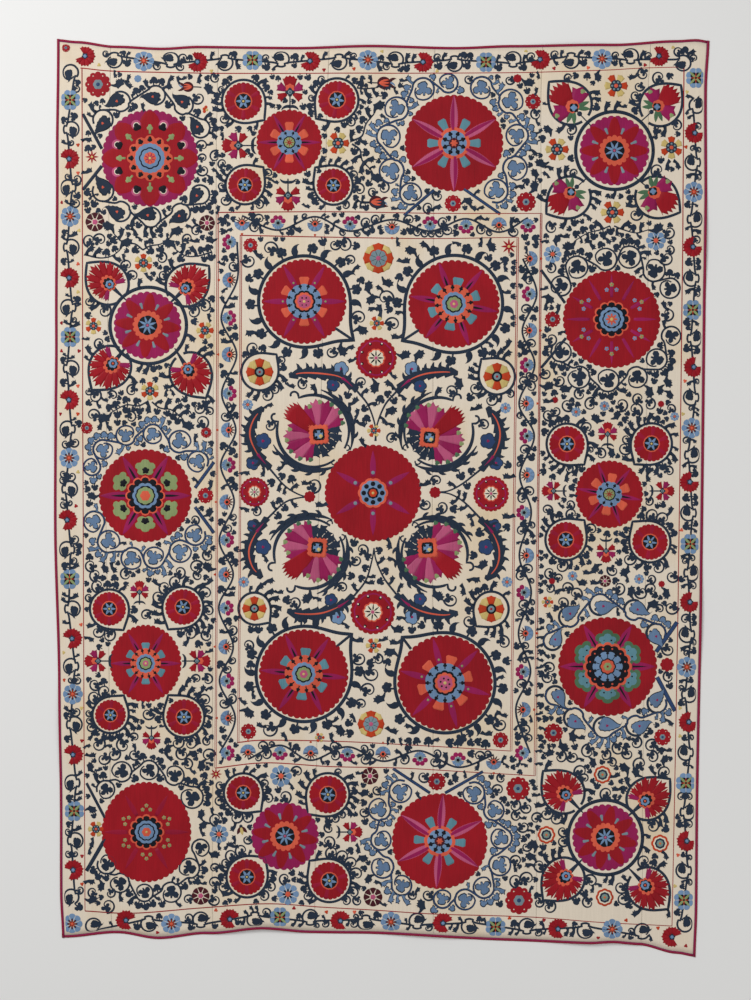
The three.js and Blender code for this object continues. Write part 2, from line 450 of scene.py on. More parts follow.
def curve(*points, each=2.2):
    """A smooth path through a few points: cubics whose tangents join each point's neighbours."""
    p = np.array(points, float)
    tangent = np.gradient(p, axis=0)
    xs, ys = [], []
    for k in range(len(p) - 1):
        steps = max(3, int(np.hypot(*(p[k + 1] - p[k])) / each))
        t = np.linspace(0, 1, steps, endpoint=k == len(p) - 2)[:, None]
        xy = ((2 * t**3 - 3 * t**2 + 1) * p[k] + (t**3 - 2 * t**2 + t) * tangent[k]
              + (3 * t**2 - 2 * t**3) * p[k + 1] + (t**3 - t**2) * tangent[k + 1])
        xs.append(xy[:, 0])
        ys.append(xy[:, 1])
    return np.concatenate(xs), np.concatenate(ys)


def evenly(points, count, each=0.12):
    """The smooth path through a few points, as so many points at even shares of its length."""
    px, py = curve(*points, each=each)
    run = np.concatenate([[0], np.cumsum(np.hypot(np.diff(px), np.diff(py)))])
    shares_of_run = np.linspace(0, run[-1], count)
    return np.interp(shares_of_run, run, px), np.interp(shares_of_run, run, py)

OUTLINES = {
    "bud": (35, 0.58, ".0 .06  .28 .08  .34 .12  .20 .28  .30 .48  .56 .50  .66 .35  .84 .36  1.0 .20  1.04 0"),
    "ivy": (20, 0.48, ".0 .07  .24 .11  .06 .30  .10 .56  .36 .66  .54 .50  .60 .28  .80 .42  1.06 .32  1.12 0"),
    "claw": (70, 0.50, "-.08 .20  .12 .12  .34 .14  .58 .22  .72 .38  .76 .22  .96 .26  .93 .08  1.14 .0  "
             ".92 -.12  .84 -.30  .70 -.19  .45 -.16  .12 -.13  -.08 -.21"),
    "spray": (95, 0.58, ".0 .05  .22 .08  .38 .15  .46 .24  .42 .33  .60 .30  .72 .40  .78 .27  .97 .30  .97 .15  "
              "1.16 .10  1.02 -.03  1.05 -.16  .88 -.16  .82 -.29  .67 -.21  .54 -.22  .44 -.29  .38 -.15  .22 -.09  "
              ".0 -.05"),
}


def outlined(work, kind, x, y, turn, size, thread, side, height, edge=0.0):
    """A flat leaf round a pole. Its outline is given for a straight leaf one long and bent along an
    arc: a place u along and v aside goes to (sin(bu)/b - v sin(bu), (1 - cos(bu))/b + v cos(bu)).
    With one side given, the other is its mirror image. Edge widens the leaf all round."""
    bend, middle, text = OUTLINES[kind]
    points = numbers(text, 2)
    if min(v for _, v in points) >= 0:
        points += [(u, -v) for u, v in points[::-1] if v]
    u, v = np.array([(middle, 0.0)] + points).T
    b = math.radians(bend)
    along = np.sin(b * u) / b - v * np.sin(b * u)
    aside = ((1 - np.cos(b * u)) / b + v * np.cos(b * u)) * side
    start = math.radians(turn - bend * side * 0.45)
    gx = x + (along * math.cos(start) - aside * math.sin(start)) * size
    gy = y + (along * math.sin(start) + aside * math.cos(start)) * size
    dx, dy = gx[1:] - gx[0], gy[1:] - gy[0]
    away = np.hypot(dx, dy)
    share = np.array([0.78, 0.94, 1.0])[:, None] * (1 + edge / away)
    level = np.repeat([[height], [height], [SKIRT]], len(dx), axis=1)
    work.grid(gx[0] + dx * share, gy[0] + dy * share, level, thread, wrap=True, pole=(gx[0], gy[0], height))
    GROUND.mark(gx[0], gy[0], away[u[1:] > 0.18].mean() * 0.92)
    for reach in (0.25, 0.9):
        GROUND.mark(*toward(x, y, turn, size * reach), size * 0.15)


def toward(x, y, angle, distance):
    """The place a distance away at an angle."""
    return x + distance * math.cos(math.radians(angle)), y + distance * math.sin(math.radians(angle))


def ring(count, turn=0.0):
    """Evenly spaced angles round a circle."""
    return [turn + 360.0 * k / int(count) for k in range(int(count))]


# Leaves. Each starts at x, y and points along turn; size is its length


def spindle(work, x, y, turn, size, thread="navy", half=0.2, curl=0.0, height=0.5):
    """A pointed leaf, widest in its middle: its half width follows a half sine."""
    path = stroke(x, y, turn, size, curl, 7)
    t = np.linspace(0, 1, 7)
    work.blade(path, half * size * np.sin(math.pi * t) ** 0.8, thread, height)


def spur(work, x, y, turn, size, thread="navy", side=1, height=0.5, half=0.24):
    """A curved thorn: broad at its foot, drawn to a point that bends to one side."""
    path = stroke(x, y, turn, size, 80 * side, 6)
    t = np.linspace(0, 1, 6)
    work.blade(path, half * size * (1 - t) ** 0.75 * (0.7 + 0.6 * t), thread, height)


def crescent(work, x, y, turn, size, thread="navy", side=1, height=0.5):
    """A horn that swells above its foot and bends over to a sharp point."""
    path = stroke(x, y, turn - 34 * side, size * 1.25, 130 * side, 9)
    t = np.linspace(0, 1, 9)
    body = size * (0.08 + 0.27 * np.sin(math.pi * t ** 0.7) * (1 - 0.3 * t)) * (1 - t ** 4)
    work.blade(path, (body * 1.15, body * 0.7) if side > 0 else (body * 0.7, body * 1.15), thread, height)


def bud(work, x, y, turn, size, thread="navy", side=1, height=0.5, edge=0.0):
    """A bud of three lobes on a thin stem, the side lobes curled back."""
    outlined(work, "bud", x, y, turn, size, thread, side, height, edge)


def clover(work, x, y, turn, size, thread="navy", side=1, height=0.5, edge=0.0):
    """Five rounded lobes on a stem."""
    cx, cy = toward(x, y, turn, size * 0.62)
    work.blade(link(x, y, turn - 25 * side, cx, cy, turn + 15 * side), 0.06 * size + 0.3, thread, height - 0.08)
    for lean in (0, 66, -66, 128, -128):
        work.disc(*toward(cx, cy, turn + lean, size * 0.25), size * 0.20 + edge, thread, height)
    work.disc(cx, cy, size * 0.24, thread, height)


def claw(work, x, y, turn, size, thread="navy", side=1, height=0.5, edge=0.0):
    """A flame leaf: a broad foot that leans over and parts into pointed fingers."""
    outlined(work, "claw", x, y, turn, size, thread, side, height, edge)


def spray(work, x, y, turn, size, thread="navy", side=1, height=0.5, edge=0.0):
    """A long leaf on a thin foot whose broad end is cut into seven points."""
    outlined(work, "spray", x, y, turn, size, thread, side, height, edge)


def hook(work, x, y, turn, size, thread="navy", side=1, height=0.5):
    """A curled leaf whose back is cut into three points."""
    path = stroke(x, y, turn - 45 * side, size * 1.3, 150 * side, 13)
    t = np.linspace(0, 1, 13)
    body = 0.22 * size * np.sin(math.pi * np.clip(t * 0.9 + 0.1, 0, 1)) ** 0.8
    teeth = 0.20 * size * np.array([0, 0, .3, .7, 1, 0, .3, .7, 1, 0, .4, .7, 0]) * (1 - 0.4 * t)
    back, belly = body * 0.9 + teeth, body * 0.7
    work.blade(path, (back, belly) if side > 0 else (belly, back), thread, height)


def thorn(work, x, y, turn, size, thread="navy", side=1, height=0.5):
    """A leaf of three sharp points."""
    for lean, reach in ((0, 1.0), (52, 0.72), (-52, 0.72)):
        path = stroke(x, y, turn + lean, size * reach, 25 * side, 5)
        t = np.linspace(0, 1, 5)
        work.blade(path, 0.30 * size * (1 - t) ** 0.7 * (0.45 + t), thread, height - abs(lean) / 2600)


def ivy(work, x, y, turn, size, thread="navy", side=1, height=0.5, edge=0.0):
    """A leaf of three broad lobes, the side ones curled back to its foot."""
    outlined(work, "ivy", x, y, turn, size, thread, side, height, edge)


def curl(work, x, y, turn, size, thread="navy", side=1, height=0.5, edge=0.0):
    """A stem that runs on round a small circle and ends in a leaf inside it."""
    sweep = 265 * side
    bow = spiral(*toward(x, y, turn, size * 0.5), size * 0.5, size * 0.27, turn + 180, sweep)
    work.blade(bow, np.linspace(1.25, 0.6, len(bow[0])), thread, height - 0.08)
    ivy(work, bow[0][-1], bow[1][-1], turn + sweep - 35 * side, size * 0.52, thread, side, height)


def paisley(work, x, y, turn, size, thread="navy", side=1, height=0.5, heart=None, edge=0.0, sweep=120,
            half=0.9):
    """A comma leaf round a circle: straight threads between its back, drawn out to a hooked tail along
    turn, and its scalloped belly, which ends in a curl. A line carries the back on round the circle."""
    count = 25
    back, belly = (np.array(evenly(points, count)) for points in (PAISLEY_BACK, PAISLEY_BELLY))
    rows = np.arange(count)
    swell = 1 + 0.11 * (rows % 3 == 1) * (rows > 5) * (rows < 21)
    belly = (belly - [[0.3], [0.1]]) * swell + [[0.3], [0.1]]
    apart = belly - back
    apart = apart / (np.hypot(*apart) + 1e-6) * edge / size
    c, s = math.cos(math.radians(turn)), math.sin(math.radians(turn))

    def laid(u, v):
        u, v = u * size, v * size * side
        return x + u * c - v * s, y + u * s + v * c

    work.ruled(laid(*(back - apart)), laid(*(belly + apart)), thread, height)
    if edge >= 0:
        work.disc(*laid(-0.38, 0.48), size * 0.16, thread, height)
        a = np.radians(np.linspace(90 + sweep, 78, 5 + int(sweep / 16)))
        work.blade(laid(np.cos(a), np.sin(a)), half + edge * 0.5, thread, height - 0.05)
    if heart:
        work.disc(*laid(0.32, 0.14), size * 0.17, heart, height + 0.08, lobes=3, depth=0.4, turn=turn)


LEAVES = {"curl": curl, "bud": bud, "clover": clover, "spur": spur, "hook": hook, "spindle": spindle, "claw": claw,
          "crescent": crescent, "thorn": thorn, "ivy": ivy, "paisley": paisley, "spray": spray}

LONGEST = {"bud": 9.6, "clover": 11.5, "thorn": 10, "crescent": 12, "claw": 13.5}

PAISLEY_BACK = ((-0.22, 0.74), (0.06, 0.98), (0.48, 0.93), (0.90, 0.66), (1.30, 0.26), (1.62, 0.12), (1.78, 0.34))

PAISLEY_BELLY = ((-0.44, 0.46), (-0.28, 0.24), (-0.52, 0.12), (-0.42, -0.14), (0.0, -0.32), (0.62, -0.34),
                 (1.20, -0.18), (1.56, -0.06), (1.72, 0.26))


def sow(work, text, thread="navy"):
    """Sews a table of leaves: kind, place, heading, size and the side they bend to."""
    for row in table("kind x y turn size side\n" + text.strip()):
        extra = {} if row.kind == "spindle" else {"side": row.side}
        LEAVES[row.kind](work, row.x, row.y, row.turn, row.size, thread, **extra)


def grow(work, path, kinds="bud spur", sizes=(14, 12, 10.5, 9, 7.8, 6.6, 5.6), spacing=3.0, thread="navy", lean=62,
         sides=(1, -1), gap=0.5, start=0.0, end=0.0, core=None):
    """Lets leaves grow from a stem wherever the cloth beside it is still bare, the largest size that
    fits first. core is the thread of a smaller leaf laid on each."""
    px, py = np.asarray(path[0]), np.asarray(path[1])
    run = np.concatenate([[0], np.cumsum(np.hypot(np.diff(px), np.diff(py)))])
    kinds = kinds.split()
    for s in np.arange(start, run[-1] - end, spacing):
        x, y = np.interp(s, run, px), np.interp(s, run, py)
        ahead = np.interp(s + 1, run, px) - np.interp(s - 1, run, px)
        across = np.interp(s + 1, run, py) - np.interp(s - 1, run, py)
        heading = math.degrees(math.atan2(across, ahead))
        for side in sides:
            kind = kinds[work.random.integers(len(kinds))]
            turn = heading + side * (lean + work.random.uniform(-8, 8))
            for size in sizes:
                if size > LONGEST.get(kind, 99):
                    continue
                tip = toward(x, y, turn, size * 0.66)
                middle = toward(x, y, turn, size * 0.42)
                if GROUND.free(*tip, size * 0.40 + gap) and GROUND.free(*middle, size * 0.18 + 0.2):
                    bend = side if kind == "thorn" else -side
                    LEAVES[kind](work, x, y, turn, size, thread, side=bend)
                    if core:
                        LEAVES[kind](work, x, y, turn, size, core, side=bend, height=0.58, edge=-0.95)
                    break


def stem(work, path, half=0.75, thread="navy", height=0.42, core=None):
    """A vine's stem along a path; core is the thread of a thinner line laid on it."""
    work.blade(path, half, thread, height)
    if core:
        work.blade(path, half * 0.5, core, height + 0.06)


def vines(work, text, thread="navy", kinds=None, core=None, tip=0.0, **growth):
    """Sews a table of stems: half width and then the places a stem passes. Stems of the same table
    are all laid before any leaf grows from them; tip is the size of the leaf each ends in."""
    paths = []
    for line in text.strip().splitlines():
        words = line.split()
        path = curve(*[tuple(map(float, word.split(","))) for word in words[1:]])
        t = np.linspace(0, 1, len(path[0]))
        stem(work, path, float(words[0]) * (1 - 0.35 * t), thread, core=core)
        paths.append(path)
    for k, path in enumerate(paths):
        if tip:
            heading = math.degrees(math.atan2(path[1][-1] - path[1][-3], path[0][-1] - path[0][-3]))
            spray(work, path[0][-1], path[1][-1], heading, tip, thread, side=(-1) ** k)
    if kinds:
        for path in paths:
            grow(work, path, kinds, thread=thread, **growth)
    return paths


# Running vines


def garland(work, loops, middle=None, normal=None, side=1, leaf="ivy", half=1.0, thread="navy", core=None,
            fill=None, heart=None, sweep=120):
    """A vine that winds past a row of loops, now on one side and now on the other. At each loop a
    branch keeps on turning and curls in to a leaf. The sides are told apart by the direction from
    the middle, or by one normal for a straight row. Loops are rows of x, y and radius."""
    x, y, r = np.array(loops, float).T
    if middle is not None:
        nx, ny = x - middle[0], y - middle[1]
    else:
        nx, ny = np.full(len(x), normal[0]), np.full(len(x), normal[1])
    ways = np.sign(np.gradient(x) * ny - np.gradient(y) * nx)
    points, turns = [], []
    for k in range(len(x)):
        out = math.degrees(math.atan2(ny[k] * side, nx[k] * side))
        way = ways[k] * side
        points += [toward(x[k], y[k], out - step * way, r[k]) for step in (-62, -31, 0, 31, 62)]
        turns.append((out, way))
        side = -side
    vine = curve(*points)
    stem(work, vine, half, thread, core=core)
    for k, (out, way) in enumerate(turns):
        if leaf != "paisley":
            first = out - 50 * way
            bow = arc(x[k], y[k], r[k], first, first - 190 * way)
            inward = spiral(x[k], y[k], r[k], r[k] * 0.62, first - 190 * way, -70 * way)
            px, py = np.concatenate([bow[0], inward[0][1:]]), np.concatenate([bow[1], inward[1][1:]])
            stem(work, (px, py), half * np.linspace(1, 0.7, len(px)), thread, core=core)
            turn = first + 180 - 150 * way
            foot = toward(x[k], y[k], turn + 180, r[k] * 0.62)
            if leaf == "comma":
                paisley(work, x[k], y[k], out + 100 * way, r[k] * 0.76, thread, side=way, edge=-0.01)
                continue
            ivy(work, *foot, turn, r[k] * 1.16, thread, side=way, edge=0.4 if fill else 0)
            if fill:
                ivy(work, *foot, turn, r[k] * 1.16, fill, side=way, height=0.58, edge=-0.55)
        else:
            turn = out + 100 * way
            paisley(work, x[k], y[k], turn, r[k], thread, side=way, heart=None if fill else heart,
                    edge=0.3 if fill else 0, half=half, sweep=sweep)
            if fill:
                paisley(work, x[k], y[k], turn, r[k], fill, side=way, heart=heart, height=0.58, edge=-0.5)
    return vine


def drop_path(x, y, radius, tip_x, tip_y, sharp=0.43, gap=0.0, steps=90):
    """A drop's outline: a circle drawn out to a corner at its tip. Its radius falls off from the tip's
    by the exponential of the angle. A gap leaves that many degrees open on the other side."""
    heading = math.degrees(math.atan2(tip_y - y, tip_x - x))
    reach = math.hypot(tip_x - x, tip_y - y) / radius - 1
    a = np.linspace(-180 + gap / 2, 180 - gap / 2, steps | 1)
    r = radius * (1 + reach * np.exp(-np.radians(np.abs(a)) / sharp))
    b = np.radians(a + heading)
    return x + r * np.cos(b), y + r * np.sin(b)


# Flowers


def petal(work, x, y, turn, start, end, foot, tip, thread, height=0.5, teeth=2, bite=0.14, bow=None):
    """A petal that widens from foot to tip, with a toothed end. bow is the share by which the end's
    corners fall back; without it a wide petal is rounder than a narrow one."""
    bow = 0.5 * tip / end if bow is None else bow
    columns = 2 * teeth + 1
    u = np.linspace(-1, 1, columns)[None, :]
    t = np.array([0, 0.4, 0.78, 1])[:, None]
    jag = 1 - bite * ((np.arange(columns) % 2) == 1)[None, :] * (t == 1) - bow * u ** 2 * t
    along = start + (end - start) * t * jag
    aside = (foot + (tip - foot) * t ** 0.8) * u
    c, s = math.cos(math.radians(turn)), math.sin(math.radians(turn))
    gx, gy = x + along * c - aside * s, y + along * s + aside * c
    work.patch(gx, gy, thread, height)
    for k in (0, 1, 2, 3):
        GROUND.mark(gx[k, columns // 2], gy[k, columns // 2], max(0.5, float(aside[k, -1]) * 0.9))


def carnation(work, x, y, turn, radius, thread="red", span=250, count=8, eye=("navy", "sky")):
    """A border carnation: toothed petals fanned round its eye, with hair gaps between them."""
    step = span / (count - 1)
    half = radius * math.sin(math.radians(step / 2)) * 0.90
    for k in range(count):
        petal(work, x, y, turn - span / 2 + step * k, radius * 0.2, radius, half * 0.28, half, thread, teeth=2, bite=0.17)
    work.disc(x, y, radius * 0.34, eye[0], 0.6, lobes=5, depth=0.3, turn=turn)
    work.disc(x, y, radius * 0.18, eye[1], 0.7)


def pink(work, x, y, turn, radius):
    """The carnation beside a rosette: a broad middle petal over a coral heart, two magenta petals, two
    low red ones, and a navy diamond with a pale eye."""
    petal(work, x, y, turn, radius * 0.1, radius * 1.18, radius * 0.22, radius * 0.52, "red", 0.5, 4, 0.10)
    for side in (-1, 1):
        petal(work, x, y, turn + 62 * side, radius * 0.25, radius * 1.02, radius * 0.10, radius * 0.34, "magenta", 0.5, 2)
        petal(work, x, y, turn + 118 * side, radius * 0.25, radius * 0.98, radius * 0.10, radius * 0.32, "red", 0.5, 2)
    work.disc(*toward(x, y, turn, radius * 0.28), radius * 0.33, "coral", 0.58, lobes=6, depth=0.2, turn=turn)
    work.disc(x, y, radius * 0.34, "navy", 0.66, lobes=4, depth=0.34, power=1.6, turn=turn)
    work.disc(x, y, radius * 0.17, "slate", 0.74)
    work.disc(x, y, radius * 0.06, "ink", 0.80)
    stem(work, stroke(*toward(x, y, turn + 180, radius * 0.3), turn + 180, radius * 0.95, 0, 4), 0.75)
    for side in (-1, 1):
        fx, fy = toward(x, y, turn + 180, radius * 1.0)
        spur(work, fx, fy, turn + 180 - 95 * side, radius * 0.72, side=side)


def tulip(work, x, y, turn, size, thread="red", inner="ochre", leaf="navy"):
    """A small side-on bloom: three pointed petals from one foot."""
    for lean, name in ((-34, thread), (34, thread), (0, inner)):
        spindle(work, x, y, turn + lean, size, name, 0.22, height=0.5 + 0.05 * (lean == 0))
    work.disc(x, y, size * 0.2, leaf, 0.6)


def pomegranate(work, x, y, turn, size):
    """A ripe bud: a maroon round with coral ribs and a crown of points."""
    work.disc(x, y, size * 0.62, "maroon", 0.5, squash=0.92, tilt=turn)
    for lean, thread in ((-0.34, "coral"), (0, "coral"), (0.34, "coral")):
        path = stroke(*toward(x, y, turn + 180, size * 0.45), turn + 40 * lean * 2.2, size * 0.95, -110 * lean, 7)
        work.blade(path, size * 0.12 * np.sin(math.pi * np.linspace(0.1, 0.9, 7)), thread, 0.6)
    fx, fy = toward(x, y, turn, size * 0.45)
    for lean in (-58, 58):
        spur(work, fx, fy, turn + lean, size * 0.85, "maroon", side=-1 if lean > 0 else 1, half=0.3)
    spur(work, fx, fy, turn, size * 0.7, "sky")
    stem(work, stroke(*toward(x, y, turn + 180, size * 0.6), turn + 180, size * 0.9, 10, 4), 0.7)


def fan_flower(work, x, y, turn, kind, radius=7.4):
    """A half flower of the inner border, open along turn: blue ones have a coral heart and a crown of
    maroon spikes behind, pink ones a toothed sky cup and magenta lobes."""
    if kind == "b":
        for k in range(7):
            spindle(work, x, y, turn + 180 + (k - 3) * 30, radius * 0.95, "maroon", 0.12)
        for k in range(5):
            a = turn + (k - 2) * 40
            petal(work, x, y, a, radius * 0.25, radius * 1.12, radius * 0.12, radius * 0.36, "sky", 0.5, 1, 0.1)
        work.disc(x, y, radius * 0.46, "coral", 0.6, lobes=6, depth=0.15)
        work.disc(x, y, radius * 0.25, "ink", 0.68)
        fx, fy = toward(x, y, turn, radius * 1.5)
        work.disc(fx, fy, radius * 0.2, "rust", 0.5, lobes=3, depth=0.4, turn=turn)
    else:
        for k in range(6):
            petal(work, x, y, turn + 180 + (k - 2.5) * 26, radius * 0.2, radius * 0.95, 0.3, radius * 0.22, "sky",
                  0.5, 1, 0.2)
        for k in range(4):
            lx, ly = toward(x, y, turn + (k - 1.5) * 46, radius * 0.78)
            work.disc(lx, ly, radius * 0.36, "magenta", 0.5)
        work.disc(x, y, radius * 0.52, "slate", 0.6, lobes=6, depth=0.15)
        work.disc(x, y, radius * 0.28, "ink", 0.68, lobes=5, depth=0.2)


def sprinkle(work, text):
    """Sews a table of single small motifs: kind, place, size, turn and thread."""
    for row in table("kind x y size turn thread\n" + text.strip()):
        if row.kind == "star":
            work.disc(row.x, row.y, row.size, row.thread, 0.5, lobes=6, depth=0.5, power=1.2, turn=row.turn)
        elif row.kind == "dot":
            work.disc(row.x, row.y, row.size, row.thread, 0.5, lobes=8, depth=0.15)
        elif row.kind == "tulip":
            tulip(work, row.x, row.y, row.turn, row.size, row.thread)
        elif row.kind == "bud":
            bud(work, row.x, row.y, row.turn, row.size, row.thread)
        elif row.kind == "carnation":
            carnation(work, row.x, row.y, row.turn, row.size, row.thread)
        elif row.kind == "pink":
            pink(work, row.x, row.y, row.turn, row.size)
        elif row.kind == "pomegranate":
            pomegranate(work, row.x, row.y, row.turn, row.size)
        elif row.kind == "paw":
            for lean in (-50, 0, 50):
                work.disc(*toward(row.x, row.y, row.turn + lean, row.size * 0.6), row.size * 0.36, row.thread)
            work.disc(row.x, row.y, row.size * 0.3, "ochre", 0.55)
        else:
            rosette(work, row.kind, row.x, row.y, row.size, row.turn)


# Rosettes, as rows of silk laid one on another. Lengths are shares of the rosette's radius.
# rim: a scalloped round of radius outer, its scallops width deep. star: points of radius outer and
# notches of radius inner, sharper with width. ray: spindles from inner to outer. wedge: petals that
# widen from inner to outer. spot: small rounds of radius width centred at inner.

